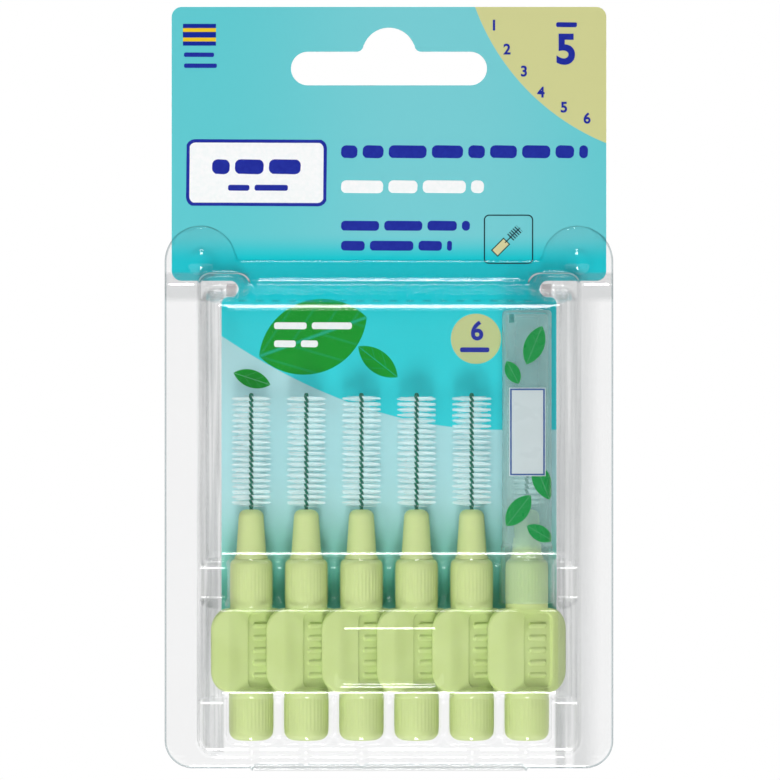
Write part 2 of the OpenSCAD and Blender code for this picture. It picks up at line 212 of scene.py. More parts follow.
class Value:
    # a number that changes over a surface; each sign adds the Math node that works it out
    def __init__(self, finish, socket):
        self.finish = finish
        self.socket = socket

    def math(self, operation, *others):
        inputs = dict(enumerate([self, *others]))
        return self.finish.node("ShaderNodeMath", {"operation": operation}, inputs)

    def __add__(self, other):
        return self.math("ADD", other)

    def __sub__(self, other):
        return self.math("SUBTRACT", other)

    def __mul__(self, other):
        return self.math("MULTIPLY", other)

    def __truediv__(self, other):
        return self.math("DIVIDE", other)

    def __pow__(self, other):
        return self.math("POWER", other)

    def __neg__(self):
        return self.math("MULTIPLY", -1.0)

    def __abs__(self):
        return self.math("ABSOLUTE")

    def __rsub__(self, other):
        return self * -1.0 + other

    __radd__ = __add__
    __rmul__ = __mul__

    def sine(self):
        return self.math("SINE")

    def least(self, other):
        return self.math("MINIMUM", other)

    def most(self, other):
        return self.math("MAXIMUM", other)

    def between(self, low, high, start=0.0, end=1.0):
        # start below low, end above high, eased in between
        return self.finish.node("ShaderNodeMapRange", {"interpolation_type": "SMOOTHSTEP"},
                                {0: self, 1: low, 2: high, 3: start, 4: end})

    def until(self, low, high):
        # 1 below low, 0 above high
        return self.between(low, high, 1.0, 0.0)

    def inside(self, soft=0.04):
        # 1 where a distance is negative, 0 outside, eased over soft to each side
        return self.until(-soft, soft)

    def also(self, out):
        # another output of the node that this value comes from
        return Value(self.finish, self.socket.node.outputs[out])


class Finish:
    # one material and the nodes that make it
    def __init__(self, name):
        self.material = bpy.data.materials.new(name)
        self.material.use_nodes = True
        self.tree = self.material.node_tree
        self.tree.nodes.clear()

    def node(self, kind, settings=None, inputs=None, out=0):
        # a node of this kind with its settings, then the values or links of its sockets
        made = self.tree.nodes.new(kind)
        for key, setting in (settings or {}).items():
            setattr(made, key, setting)
        for key, value in (inputs or {}).items():
            if isinstance(value, Value):
                self.tree.links.new(value.socket, made.inputs[key])
            else:
                made.inputs[key].default_value = value
        return Value(self, made.outputs[out])

    def place(self):
        # where a point lies on the object, in millimetres: across, forward, up
        x = self.node("ShaderNodeSeparateXYZ", {}, {0: self.node("ShaderNodeTexCoord", out="Object")})
        return x / mm, -x.also("Y") / mm, x.also("Z") / mm

    def rays(self):
        # 1 for what the camera sees, and 1 for what gloss or glass shows
        camera = self.node("ShaderNodeLightPath")
        return camera, camera.also("Is Glossy Ray").most(camera.also("Is Transmission Ray"))

    def mixed(self, share, a, b):
        # colour a turning into colour b as share goes from 0 to 1
        return self.node("ShaderNodeMix", {"data_type": "RGBA"}, {0: share, 6: a, 7: b}, out=2)

    def blended(self, share, a, b):
        # shader a turning into shader b
        return self.node("ShaderNodeMixShader", {}, {0: share, 1: a, 2: b})

    def facing(self):
        # 0 where a face is seen straight on, 1 at a glancing angle
        return self.node("ShaderNodeLayerWeight", {}, {"Blend": 0.5}, out="Facing")

    def speckle(self, scale, detail=2.0, rough=0.5):
        # a noise from 0 to 1 over the object, with about this many grains a metre
        where = self.node("ShaderNodeTexCoord", out="Object")
        return self.node("ShaderNodeTexNoise", {"noise_dimensions": "3D"},
                         {"Vector": where, "Scale": scale, "Detail": detail, "Roughness": rough})

    def bump(self, height, strength, distance):
        return self.node("ShaderNodeBump", {}, {"Height": height, "Strength": strength, "Distance": distance})

    def shine(self, **inputs):
        names = {key.replace("_", " "): value for key, value in inputs.items()}
        return self.node("ShaderNodeBsdfPrincipled", {}, names)

    def through(self, colour):
        return self.node("ShaderNodeBsdfTransparent", {}, {"Color": colour})

    def done(self, shader, kind="ShaderNodeOutputMaterial"):
        end = self.tree.nodes.new(kind)
        self.tree.links.new(shader.socket, end.inputs["Surface"])


def ink(red, green, blue):
    # a colour as a picture shows it, from 0 to 255, as the linear colour that a shader takes
    shares = [level / 255 for level in (red, green, blue)]
    return (*[c / 12.92 if c <= 0.04045 else ((c + 0.055) / 1.055) ** 2.4 for c in shares], 1.0)


def distance(across, up):
    # sqrt(across^2 + up^2), for values
    return (across * across + up * up) ** 0.5


def boxField(x, z, halfWidth, halfHeight):
    # greater of |x| - half width and |z| - half height, for values: negative inside the box
    return (abs(x) - halfWidth).most(abs(z) - halfHeight)


def cornerField(x, z, halfWidth, halfHeight):
    # distance outside a box, for values, so that its level lines have round corners
    return distance((abs(x) - halfWidth).most(0.0), (abs(z) - halfHeight).most(0.0))


leafLook = {
    "edge": (-0.06, 0.02), "rib": 0.035,  # softness of the outline, and the rib's share of the width
    "veins": (22.0, 30.0), "veinWave": (0.86, 0.98), "veinDepth": 0.8,
}


def leafMask(x, z, length, width, angle):
    # 1 inside the lens between two circles of radius (length^2 + width^2) / (4 width), for a leaf about the
    # origin that lies along the angle; and 1 beside its rib and its veins, which lie where the sine of
    # 22 along / length - 30 |across| / length is high
    turn = math.radians(angle)
    along = x * math.cos(turn) + z * math.sin(turn)
    across = z * math.cos(turn) - x * math.sin(turn)
    radius = (length * length + width * width) / (4 * width)
    lift = radius - width / 2
    reach = distance(along, across + lift).most(distance(along, across - lift))
    rib = abs(across).between(0.0, width * leafLook["rib"])
    perAlong, perAcross = leafLook["veins"]
    wave = (along * (perAlong / length) - abs(across) * (perAcross / length)).sine()
    inner, outer = leafLook["edge"]
    veins = wave.between(*leafLook["veinWave"], 1.0, leafLook["veinDepth"])
    return reach.until(radius + inner, radius + outer), rib * veins


# handles

handleLook = {
    # heights in millimetres above the pack's foot
    "foot": 5.9, "pad": 14.4, "collar": 29.3, "neck": 38.0, "top": 46.8,
    # turned parts: radii, roundings, the waist's share of the pad's thickness, the flare at the neck's foot
    "tailRadius": 3.91, "collarRadius": 3.74, "neckFoot": 2.7, "neckTop": 2.15, "tailRound": 1.7,
    "collarRound": 1.0, "noseRound": 1.25, "fairing": 1.7, "waist": 0.6, "flare": (0.35, 0.9),
    "bore": 0.45, "boreDepth": 1.5,
    # ribs, and how far they keep from each end of the tail and of the collar
    "ribRise": 0.055, "ribCount": 36, "ribEnd": 0.5,
    "ribbed": (("foot", 1.7, "pad", 0.6), ("collar", 1.1, "neck", 1.3)),
    # the tilted pad, with the powers that keep its edges crisp
    "padHalf": 7.5, "padThick": 1.5, "edgeThick": 0.5, "edgeInset": 0.5, "padFlat": 4.6, "padCorner": 3.8,
    "tilt": 20.0, "padPower": 26, "joinPower": 12,
    # recess and grip bars on the pad's face, and the thumb dimple: depth, place, half width, half height
    "recessMiddle": 1.6, "recessWidth": 5.2, "recessDeep": 0.45, "recessMargin": 0.8, "recessCorner": 1.3,
    "barWidth": 3.2, "barThick": 0.7, "barCorner": 0.33, "barCount": 5, "faceEdge": 0.16,
    "dimple": (0.1, -2.5, 1.1, 4.2),
    # moulded colour, its cloud, and a painted lighter tone on the turned parts, from this distance above and
    # below the pad: painted light, as the turned parts catch more light than the tilted pad
    "colour": (208, 226, 154), "cloud": (203, 221, 147), "turned": (211, 227, 157), "paintedLightFrom": (7.4, 8.6),
}


def plasticFinish():
    look = handleLook
    finish = Finish("moulded_green")
    fine = finish.speckle(2600.0, 3.0)
    cloud = finish.speckle(160.0, 1.0)
    _, _, up = finish.place()
    # painted light: the tail, collar and neck are painted lighter than the pad, which is turned away from the
    # light
    turned = abs(up - packFoot - (look["pad"] + look["collar"]) / 2).between(*look["paintedLightFrom"])
    colour = finish.mixed(cloud.between(0.35, 0.65), ink(*look["colour"]), ink(*look["cloud"]))
    colour = finish.mixed(turned, colour, ink(*look["turned"]))
    finish.done(finish.shine(
        Base_Color=colour, Roughness=fine * 0.14 + 0.5, Normal=finish.bump(fine, 0.12, 0.00003),
        Subsurface_Weight=0.12, Subsurface_Radius=(0.0012, 0.0014, 0.0008), Specular_IOR_Level=0.3))
    return finish.material


def turnedRadius(height, look):
    # radius of the turned parts at each height: tail and collar with round ends, which fall to the waist
    # inside the pad as (1 - distance / fairing)^2, and a cone from the collar to the round nose
    foot, pad, collar, neck, top = (look[key] for key in ("foot", "pad", "collar", "neck", "top"))
    waist = look["padThick"] * look["waist"]
    abovePad = (1 - np.clip((height - pad) / look["fairing"], 0, 1)) ** 2
    belowCollar = (1 - np.clip((collar - height) / look["fairing"], 0, 1)) ** 2
    tail = roundedEnd(look["tailRadius"], look["tailRound"], height - foot)
    tail = np.where(height < pad, tail, waist + (look["tailRadius"] - waist) * abovePad)
    shoulder = roundedEnd(look["collarRadius"], look["collarRound"], neck - height)
    shoulder = np.where(height > collar, shoulder, waist + (look["collarRadius"] - waist) * belowCollar)
    cone = look["neckFoot"] + (look["neckTop"] - look["neckFoot"]) * (height - neck) / (top - neck)
    flare, flareHeight = look["flare"]
    cone += flare * (1 - ease((height - neck) / flareHeight))
    nose = roundedEnd(cone, look["noseRound"], top - height)
    return np.where(height > neck, nose, np.where(height < (pad + collar) / 2, tail, shoulder))


def padRadius(direction, height, look):
    # how far the pad reaches in each direction: (sum of (share of the direction along a face's normal / the
    # face's distance)^n)^(-1/n), over its flat faces, its bevels and its round-cornered ends
    c, s = np.abs(np.cos(direction)), np.abs(np.sin(direction))
    within = np.minimum(height - look["pad"], look["collar"] - height)
    halfWide = np.maximum(roundedEnd(look["padHalf"], look["padCorner"], within), 0.1)
    slope = (look["padHalf"] - look["edgeInset"] - look["padFlat"]) / (look["padThick"] - look["edgeThick"])
    bevel = look["padFlat"] + slope * look["padThick"]
    n = look["padPower"]
    allowed = (s / look["padThick"]) ** n + ((c + slope * s) / bevel) ** n + (c / halfWide) ** n
    return np.where(within > 0, allowed ** (-1 / n), 0.0)


def faceRelief(u, height, look):
    # how deep the pad's face is sunk: the recess less its bars, and a dimple, which is its depth times
    # exp(-(x / half width)^2 - (z / half height)^2)
    tall = (look["collar"] - look["pad"]) / 2 - look["recessMargin"]
    x, z = u - look["recessMiddle"], height - (look["pad"] + look["collar"]) / 2
    sunk = roundedBox(x, z, look["recessWidth"] / 2, tall, look["recessCorner"])
    step = 2 * tall / (look["barCount"] + 1)
    most = look["barCount"] // 2
    fromBar = z - step * np.clip(np.round(z / step), -most, most)
    bar = roundedBox(x, fromBar, look["barWidth"] / 2, look["barThick"] / 2, look["barCorner"])
    sunk, bar = (ease(0.5 - field / look["faceEdge"]) for field in (sunk, bar))
    deep, at, halfWide, halfTall = look["dimple"]
    dimple = deep * np.exp(-((u - at) / halfWide) ** 2 - (z / halfTall) ** 2)
    return look["recessDeep"] * sunk * (1 - bar) + dimple


def handleDirections(look):
    # the angles of a ring's points, closer together across the pad's face and round its two edges
    face = np.concatenate([np.linspace(-1.3, 0.6, 14), np.linspace(0.7, 4.6, 44)])
    edge = np.linspace(-0.42, 0.42, 44)
    angles = np.concatenate([np.linspace(0, 2 * math.pi, 217)[:-1], np.arctan2(-look["padThick"], face),
                             edge, math.pi + edge])
    return thinned(np.mod(angles, 2 * math.pi), 0.0075)


def handleHeights(look):
    # the heights of the rings, closer together at round ends, at the ends of the ribs and along the pad
    foot, pad, collar, neck, top = (look[key] for key in ("foot", "pad", "collar", "neck", "top"))
    ribEnds = np.array([1.1, 1.2, 1.3])
    padCorner = 3 * opening(18)
    return thinned(np.concatenate([
        foot + look["tailRound"] * opening(10), foot + ribEnds, np.linspace(foot + 1.8, pad - 0.05, 14),
        [pad - 0.02], pad + padCorner, np.linspace(pad + 0.5, collar - 0.5, 84), collar - padCorner,
        [collar + 0.02], collar + ribEnds, np.linspace(collar + 0.1, neck - 1, 14), neck - 1 + closing(8),
        np.linspace(neck, neck + 1, 8), np.linspace(neck + 1, top - 1.2, 8),
        top - look["noseRound"] * (1 - closing(10))]), 0.012)


def handleSkin(x0):
    # rings about the brush's axis, of radius (turned^n + pad^n)^(1/n), with the face's relief pressed in; all
    # turned by the tilt, and closed by the bore's wall and floor at the nose
    look = handleLook
    directions = handleDirections(look)
    a, h = np.meshgrid(directions, handleHeights(look))
    soft = look["ribEnd"]
    ribbed = sum(ease((h - look[low] - above) / soft) * ease((look[high] - below - h) / soft)
                 for low, above, high, below in look["ribbed"])
    ribs = 0.5 + 0.5 * np.cos(look["ribCount"] * a)
    turned = turnedRadius(h, look) + look["ribRise"] * ribs * ribbed
    plate = padRadius(a, h, look)
    n = look["joinPower"]
    radius = np.where(plate > 0, (turned ** n + plate ** n) ** (1 / n), turned)
    u, v = radius * np.cos(a), radius * np.sin(a)
    onFace = (v < 0) & (plate > 0) & (radius > 1.02 * turned)
    v = v + np.where(onFace, faceRelief(u, h, look), 0.0)
    turn = math.radians(look["tilt"])
    x = x0 + u * math.cos(turn) - v * math.sin(turn)
    y = u * math.sin(turn) + v * math.cos(turn)
    ring = np.stack([np.cos(directions), np.sin(directions)], -1) * look["bore"]
    floor = look["top"] - look["boreDepth"]
    well = [toFrame(x0 + ring[:, 0], axisDepth - ring[:, 1], level) for level in (look["top"], floor)]
    rings = np.concatenate([toFrame(x, axisDepth - y, h), np.stack(well)])
    return tube(rings, toFrame(x0, axisDepth, look["foot"]), toFrame(x0, axisDepth, floor))


# wires and filaments

wireLook = {
    "strand": 0.245, "swing": 0.19, "pitch": 1.94, "sides": 8, "perTurn": 22,
    # how far each end stays inside the CAD wire; share of the radius left at an end, and length of its taper
    "ends": (0.02, 0.06), "blunt": (0.35, 0.16),
    "dark": (0, 100, 78), "light": (0, 128, 98),
}
filamentLook = {
    "count": 1200, "thick": 0.031, "reach": 3.48, "spread": 0.22, "rise": 0.08, "bow": 0.1,
    "stations": 7, "uneven": 0.018, "taper": 0.35, "margin": 0.15, "ends": (0.05, 0.02),
    "light": (252, 254, 254), "dark": (240, 248, 248), "paintedGlow": (0.86, 0.97, 1.0, 1),
}


def wireFinish():
    finish = Finish("coated_wire")
    grain = finish.speckle(3000.0)
    colour = finish.mixed(grain.between(0.35, 0.7), ink(*wireLook["dark"]), ink(*wireLook["light"]))
    finish.done(finish.shine(Base_Color=colour, Roughness=grain * 0.1 + 0.3, Metallic=0.0, Coat_Weight=0.2,
                             Coat_Roughness=0.15, Specular_IOR_Level=0.45))
    return finish.material


def filamentFinish():
    finish = Finish("filament")
    cloud = finish.speckle(900.0, 1.0)
    colour = finish.mixed(cloud.between(0.3, 0.7), ink(*filamentLook["light"]), ink(*filamentLook["dark"]))
    # painted glow: a faint emission brightens the filaments, though they are no lamp
    skin = finish.shine(Base_Color=colour, Roughness=cloud * 0.1 + 0.3, Specular_IOR_Level=0.5,
                        Emission_Color=filamentLook["paintedGlow"], Emission_Strength=0.2)
    body = finish.blended(0.4, skin, finish.node("ShaderNodeBsdfTranslucent", {}, {"Color": colour}))
    clear = finish.through((0.97, 1.0, 1.0, 1))
    finish.done(finish.blended(finish.facing().between(0.5, 0.8, 0.56, 0.04), clear, body))
    return finish.material


def onAxis(index, spots):
    # points about a brush's axis, as (across, back, up), as points of the frame
    return toFrame(brushX[index] + spots[..., 0], axisDepth - spots[..., 1], spots[..., 2])


def wireSkin(index):
    # two strands, each a round tube along a left-hand helix: swing * (cos, sin)(pi k - 2 pi z / pitch)
    foot, top = nodeHeights(f"wire_{index + 1}")
    swing, pitch = wireLook["swing"], wireLook["pitch"]
    atFoot, atTop = wireLook["ends"]
    z = np.linspace(foot + atFoot, top - atTop, int((top - foot) / pitch * wireLook["perTurn"]) + 1)
    around = np.linspace(0, 2 * math.pi, wireLook["sides"], endpoint=False)[None, :, None]
    least, run = wireLook["blunt"]
    thick = wireLook["strand"] * np.minimum(1, least + np.minimum(z - z[0], z[-1] - z) / run)[:, None, None]
    skins = []
    for k in (0, 1):
        t = -2 * math.pi * z / pitch + math.pi * k
        centre = np.stack([swing * np.cos(t), swing * np.sin(t), z], -1)
        climb = np.full_like(t, pitch / (2 * math.pi))
        tangent = np.stack([swing * np.sin(t), -swing * np.cos(t), climb], -1)
        tangent /= np.linalg.norm(tangent, axis=1)[:, None]
        outward = np.stack([np.cos(t), np.sin(t), np.zeros_like(t)], -1)
        sideways = np.cross(tangent, outward)
        ring = outward[:, None] * np.cos(around) + sideways[:, None] * np.sin(around)
        points = centre[:, None] + ring * thick
        skins.append(tube(*(onAxis(index, spots) for spots in (points, centre[0], centre[-1]))))
    return joined(skins)


def filamentSkin(index):
    # thin three-sided rods right through the wire, whose angle follows its twist with the height; they bow
    # sideways as s^2 and rise at the tips as s^1.5, for s from 0 at the wire to 1 at a tip
    look = filamentLook
    seeds = np.random.default_rng(40 + index)
    count, margin = look["count"], look["margin"]
    foot, top = nodeHeights(f"bristles_{index + 1}")
    z = np.sort(seeds.uniform(foot + margin, top - margin, count))
    turn = math.pi / 2 - 2 * math.pi * z / wireLook["pitch"] + seeds.normal(0, look["spread"], count)
    s = np.linspace(-1, 1, look["stations"])
    length = look["reach"] * (1 - np.abs(seeds.normal(0, look["uneven"], (count, 2))))
    along = np.where(s[None] < 0, length[:, :1], length[:, 1:]) * s[None]
    bow = seeds.normal(0, look["bow"], (count, 1)) * s[None] ** 2
    tipRise = seeds.normal(0, look["rise"], (count, 2))
    rise = np.where(s[None] < 0, tipRise[:, :1], tipRise[:, 1:]) * np.abs(s[None]) ** 1.5
    c, d = np.cos(turn)[:, None], np.sin(turn)[:, None]
    atFoot, atTop = look["ends"]
    height = np.clip(z[:, None] + rise, foot + atFoot, top - atTop)
    centre = np.stack([along * c - bow * d, along * d + bow * c, height], -1)
    across = np.stack([-np.sin(turn), np.cos(turn), np.zeros(count)], -1)[:, None, None]
    up = np.array([0.0, 0.0, 1.0])
    around = np.arange(3) * 2 * math.pi / 3
    ring = across * np.cos(around)[None, None, :, None] + up * np.sin(around)[None, None, :, None]
    points = centre[:, :, None] + ring * look["thick"] * (1 - look["taper"] * np.abs(s))[None, :, None, None]
    starts = (np.arange(count) * len(s) * 3)[:, None, None]
    last = (len(s) - 1) * 3
    lids = np.array([[0, 2, 1], [last, last + 1, last + 2]])
    quads = gridQuads(len(s), 3, around=True)[None] + starts
    return onAxis(index, points).reshape(-1, 3), quads.reshape(-1, 4), (lids[None] + starts).reshape(-1, 3)


# travel cap

capLook = {
    "half": 4.3, "corner": 1.8, "skirt": 4.6, "step": 9.9, "roof": 0.7,
    "bore": 3.86, "boreFlare": 0.2, "boreRound": 0.4, "boreHub": 0.6,
    "stepBlend": 0.9, "rim": 0.6, "lip": (0.35, 0.28, 0.1, 0.02, 0.0),  # inset of the lowest rings
    "milk": (196, 229, 229), "cloud": (184, 219, 219), "leaf": (0, 150, 68),
    # across from the axis, down from the top, length, width and angle of each leaf
    "leaves": ((1.2, 6.2, 7.4, 3.6, 68), (-2.6, 11.0, 4.6, 2.6, 118), (2.6, 30.2, 7.2, 3.4, 112),
               (-1.6, 35.4, 7.0, 3.6, 52), (2.2, 39.4, 5.4, 2.8, 150)),
    # plain panel: half width, half height, down from the top; border's inset and half width
    "panel": (3.2, 7.8, 21.5), "panelRim": (0.28, 0.1, 0.2),
    "panelInk": (226, 236, 238), "rimInk": (46, 88, 160),
    "vent": (0.9, 1.5, 1.1, 0.7),  # width, height, inset from the left side and from the top
    "skirtClear": (0.99, 1.0, 0.99, 1), "boxClear": (0.95, 1.0, 0.985, 1),
    # how solid the milky wall is seen straight on, and how much more at a glancing angle; the skirt's share
    # of that, and what the leaves and the panel add
    "milky": (0.27, 0.3), "skirtShare": (0.62, 0.38), "leafSolid": 0.7, "panelSolid": 0.5,
}


def squareRadius(direction, look):
    # radius of a square with round corners in each direction: half / max(|cos|, |sin|) on its sides, and on a
    # corner's circle p + sqrt(r^2 - 2 m^2 + p^2), with m = half - r and p = (|cos| + |sin|) m
    c, s = np.abs(np.cos(direction)), np.abs(np.sin(direction))
    middle = look["half"] - look["corner"]
    toCorner = (c + s) * middle
    cornered = toCorner + np.sqrt(np.maximum(look["corner"] ** 2 - 2 * middle ** 2 + toCorner ** 2, 0))
    side = look["half"] / np.maximum(c, s)
    return np.where(np.minimum(c, s) * side > middle, cornered, side)


def capSkin():
    # a round skirt's radius that eases into the square's above the step, closed over the top and lined by the
    # bore
    look = capLook
    foot, top = nodeHeights("travel_cap")
    x0 = brushX[-1]
    a = np.linspace(0, 2 * math.pi, 145)[:-1]
    step, rim = foot + look["step"], look["rim"]
    height = np.concatenate([
        [foot, foot, foot + 0.08, foot + 0.25, foot + 0.5, foot + 1], np.linspace(foot + 1.5, step - 0.2, 8),
        step + look["stepBlend"] * np.linspace(0, 1, 10), np.linspace(step + 1.5, top - 1, 26),
        top - rim + rim * closing(8)])
    inset = np.zeros_like(height)
    inset[:5] = look["lip"]
    inset[-8:] = rim * opening(8)
    share = ease((height - step) / look["stepBlend"])[:, None]
    radius = look["skirt"] * (1 - share) + squareRadius(a, look)[None] * share - inset[:, None]
    outer = toFrame(x0 + radius * np.cos(a), axisDepth - radius * np.sin(a), height[:, None])
    bore, roof = look["bore"], top - look["roof"]
    bores = np.array([bore + look["boreFlare"], bore, bore, bore, bore - look["boreRound"], look["boreHub"]])
    bores = bores[:, None]
    levels = np.array([foot, foot + 0.2, foot + 12, roof - 0.5, roof, roof])[:, None]
    inner = toFrame(x0 + bores * np.cos(a), axisDepth - bores * np.sin(a), levels)
    ends = [toFrame(x0, axisDepth, level) for level in (roof, top)]
    return tube(np.concatenate([inner[::-1], outer]), *ends)


def capFinish():
    look = capLook
    finish = Finish("milky_cap")
    x, depth, z = finish.place()
    cloud = finish.speckle(220.0, 2.0)
    x0 = brushX[-1]
    low, top = (height + packFoot for height in nodeHeights("travel_cap"))
    front = depth.between(axisDepth + 1.0, axisDepth + 1.6)
    colour = finish.mixed(cloud.between(0.3, 0.7), ink(*look["milk"]), ink(*look["cloud"]))
    printed = 0.0
    for across, down, length, width, angle in look["leaves"]:
        mask, vein = leafMask(x - (x0 + across), z - (top - down), length, width, angle)
        mask = mask * front
        colour = finish.mixed(mask * (vein * 0.15 + 0.85), colour, ink(*look["leaf"]))
        printed = mask.most(printed)
    # the pale panel and its thin border are printed over the leaves
    halfWidth, halfHeight, down = look["panel"]
    panelInset, thin, faded = look["panelRim"]
    outside = boxField(x - x0, z - (top - down), halfWidth, halfHeight)
    face = outside.inside(0.05) * front
    rim = abs(outside + panelInset).until(thin, faded) * front
    colour = finish.mixed(face, colour, ink(*look["panelInk"]))
    colour = finish.mixed(rim, colour, ink(*look["rimInk"]))
    skin = finish.shine(Base_Color=colour, Roughness=cloud * 0.08 + 0.24, Specular_IOR_Level=0.5)
    aboveStep = z.between(low + look["step"] - 1.0, low + look["step"] + 1.0)
    clear = finish.through(finish.mixed(aboveStep, look["skirtClear"], look["boxClear"]))
    wide, tall, fromSide, fromTop = look["vent"]
    ventX = x - (x0 - look["half"] + fromSide + wide / 2)
    ventZ = z - (top - fromTop - tall / 2)
    vent = (abs(ventX) - wide / 2).inside(0.03) * (abs(ventZ) - tall / 2).inside(0.03) * front
    straight, glancing = look["milky"]
    more, skirt = look["skirtShare"]
    milky = (finish.facing() * glancing + straight) * (aboveStep * more + skirt)
    solid = milky + printed * (1 - face) * look["leafSolid"] + face * look["panelSolid"]
    solid = solid.least(1.0) * (1 - vent)
    finish.done(finish.blended(solid, clear, skin))
    return finish.material


# clear clamshell

shellLook = {
    # flange: outline, round ears, the sheet with its shown share and its step over the card, and the depth
    # and width of its lip
    "halfWidth": 40.05, "bottom": 0.45, "flangeTop": 91.25, "corner": 5.0, "above": 99,
    "earX": 33.65, "earZ": 90.9, "earRadius": 6.4, "earBlend": 0.88,
    "sheet": 0.35, "skin": 0.9, "lift": 0.2, "stepZ": 86.83, "stepLong": 0.35, "lip": (0.25, 0.5),
    "notch": (24.05, 0.95),  # cut-out of the front half's foot for the hinge: half width and height
    # tray: outline, then its depths in front of the parting plane, and how far its walls lean
    "trayHalf": 34.45, "trayFoot": 2.5, "trayTop": 87.0, "trayCorner": 3.5, "face": 10.4, "valley": 2.0,
    "sideDraft": 2.7, "pocketFoot": 12.8, "pocketFloor": 13.9, "pocketRoof": 29.5, "pocketEnd": 30.8,
    "stepFoot": 36.8, "stepTop": 38.3, "faceTop": 83.3,
    # radii where the walls turn
    "sideRound": 3.2, "edgeRound": 1.5, "footRound": 1.9, "innerRound": 1.0, "stepRound": 2.0,
    "wallBlend": 0.7,
    # channels over the collars, the cap and the tails: radii, blends, and the steepness of sides and ends
    "collarChannel": 4.3, "capChannel": 5.1, "tailChannel": 4.5, "tailFoot": 5.15, "tailEnd": 1.7,
    "collarBlend": 0.5, "tailBlend": 0.4, "channelSides": 28, "channelEnds": 12,
    "collarBand": (3.0, 0.6), "tailBand": 1.2, "tailDrop": 30,  # how far the channels' ends reach, and fall
    "panel": (9.6, 5.1, 20.95, 0.35, 1.6), "panelEdge": 0.6,  # half width, half height, middle, rise, corner
    "lug": (9.0, 11.2, 3.6, 2.6, 2.2),  # width, height, depth, corner, and reach above the tray
    "lugSlope": 5, "lugRound": 1.2, "softJoin": 0.5,
    "dome": (3.6, 0.85), "stud": (37.95, 71.2, 0.6, 0.3),  # radius and rise; across, up, radius and rise
    "beads": ((82.35, 0.35, 0.13, 29.0), (87.75, 0.4, 0.16, 24.5)),  # height, half width, rise, half length
    "pan": 2.0, "panSlope": 2.0, "panRound": (0.6, 0.3),
}


def trayField(x, z):
    # distance to the tray's outline, negative inside
    look = shellLook
    middle, half = (look["trayTop"] + look["trayFoot"]) / 2, (look["trayTop"] - look["trayFoot"]) / 2
    return roundedBox(x, z - middle, look["trayHalf"], half, look["trayCorner"])


def outlineField(x, z, notch):
    # distance outside the flange's outline: a box with round lower corners, cut off at the top edge, which is
    # joined softly with the round ears on their inner sides
    look = shellLook
    middle = (look["bottom"] + 140) / 2  # the box ends far above the edge that cuts it off
    body = roundedBox(x, z - middle, look["halfWidth"], middle - look["bottom"], look["corner"])
    body = np.maximum(body, z - look["flangeTop"])
    ear = np.hypot(np.abs(x) - look["earX"], z - look["earZ"]) - look["earRadius"]
    field = softLeast(body, ear, 0.02 + look["earBlend"] * ease((look["earX"] - np.abs(x)) / 2))
    if notch:
        halfWidth, height = look["notch"]
        field = np.maximum(field, -np.maximum(np.abs(x) - halfWidth, z - height))
    return field


def channelDepth(x, radius):
    # half-round channels over the six axes: axis + sqrt(r^2 - dx^2), with nearly upright sides below the axis
    depth = np.full(np.broadcast(x, radius[0]).shape, -50.0)
    for x0, r in zip(brushX, radius):
        dx, r = np.abs(x - x0), np.maximum(r, 0)
        arc = axisDepth + np.sqrt(np.maximum(r * r - dx * dx, 0))
        depth = np.maximum(depth, np.where(dx < r, arc, axisDepth - (dx - r) * shellLook["channelSides"]))
    return depth


def trayDepth(x, z):
    # the lesser of two depths: the side walls' at this distance inside the tray's outline, and the profile's
    # at this height
    look = shellLook
    face, valley, inner, edge = (look[key] for key in ("face", "valley", "innerRound", "edgeRound"))
    wall = np.interp(-trayField(x, z), *roundedPath([
        (-3, 0, 0), (0, 0, 0.6), (look["sideDraft"], face, look["sideRound"]), (60, face, 0)]))
    profile = np.interp(z, *roundedPath([
        (0, 0, 0), (look["trayFoot"], 0, 0.3), (look["trayFoot"] + 0.4, valley, look["footRound"]),
        (look["pocketFoot"], valley, inner), (look["pocketFloor"], face, edge),
        (look["pocketRoof"], face, edge), (look["pocketEnd"], valley, inner),
        (look["stepFoot"], valley, inner), (look["stepTop"], face, look["stepRound"]),
        (look["faceTop"], face, edge), (look["trayTop"], 0, 0.8), (look["above"], 0, 0)]))
    return softLeast(wall, profile, look["wallBlend"])


def frontDepth(x, z):
    # how far the front half's outside lies in front of the parting plane: the greatest of the tray, of the
    # channels through its walls, each ended by a steep plane, and of the lugs, with the panel raised on it
    look = shellLook
    valley, ends = look["valley"], look["channelEnds"]
    collars = [look["collarChannel"]] * (brushCount - 1) + [look["capChannel"]]
    under, over = look["collarBand"]
    band = valley + np.minimum(z - look["pocketRoof"] + under, look["stepTop"] + over - z) * ends
    form = softMost(trayDepth(x, z), np.minimum(channelDepth(x, collars), band), look["collarBlend"])
    within = z - look["tailFoot"]
    tail = roundedEnd(look["tailChannel"], look["tailEnd"], within)
    tail = tail - np.maximum(-within, 0) * look["tailDrop"]
    band = valley + (look["pocketFloor"] + look["tailBand"] - z) * ends
    form = softMost(form, np.minimum(channelDepth(x, [tail] * brushCount), band), look["tailBlend"])
    halfWidth, halfHeight, middle, rise, corner = look["panel"]
    fromPanel = roundedBox(x, z - middle, halfWidth, halfHeight, corner)
    form = form + rise * ease(0.5 - fromPanel / look["panelEdge"])
    wide, tall, high, corner, above = look["lug"]
    lugX, lugZ = np.abs(x) - (look["trayHalf"] - wide / 2), z - (look["trayTop"] + above - tall / 2)
    lug = -roundedBox(lugX, lugZ, wide / 2, tall / 2, corner) * look["lugSlope"]
    return softMost(form, softLeast(lug, high, look["lugRound"]), look["softJoin"])


def flangeDepth(z):
    # the sheet's thickness, with an eased step where the card lies under it
    look = shellLook
    return look["sheet"] + look["lift"] * ease((z - look["stepZ"]) / look["stepLong"] + 0.5)


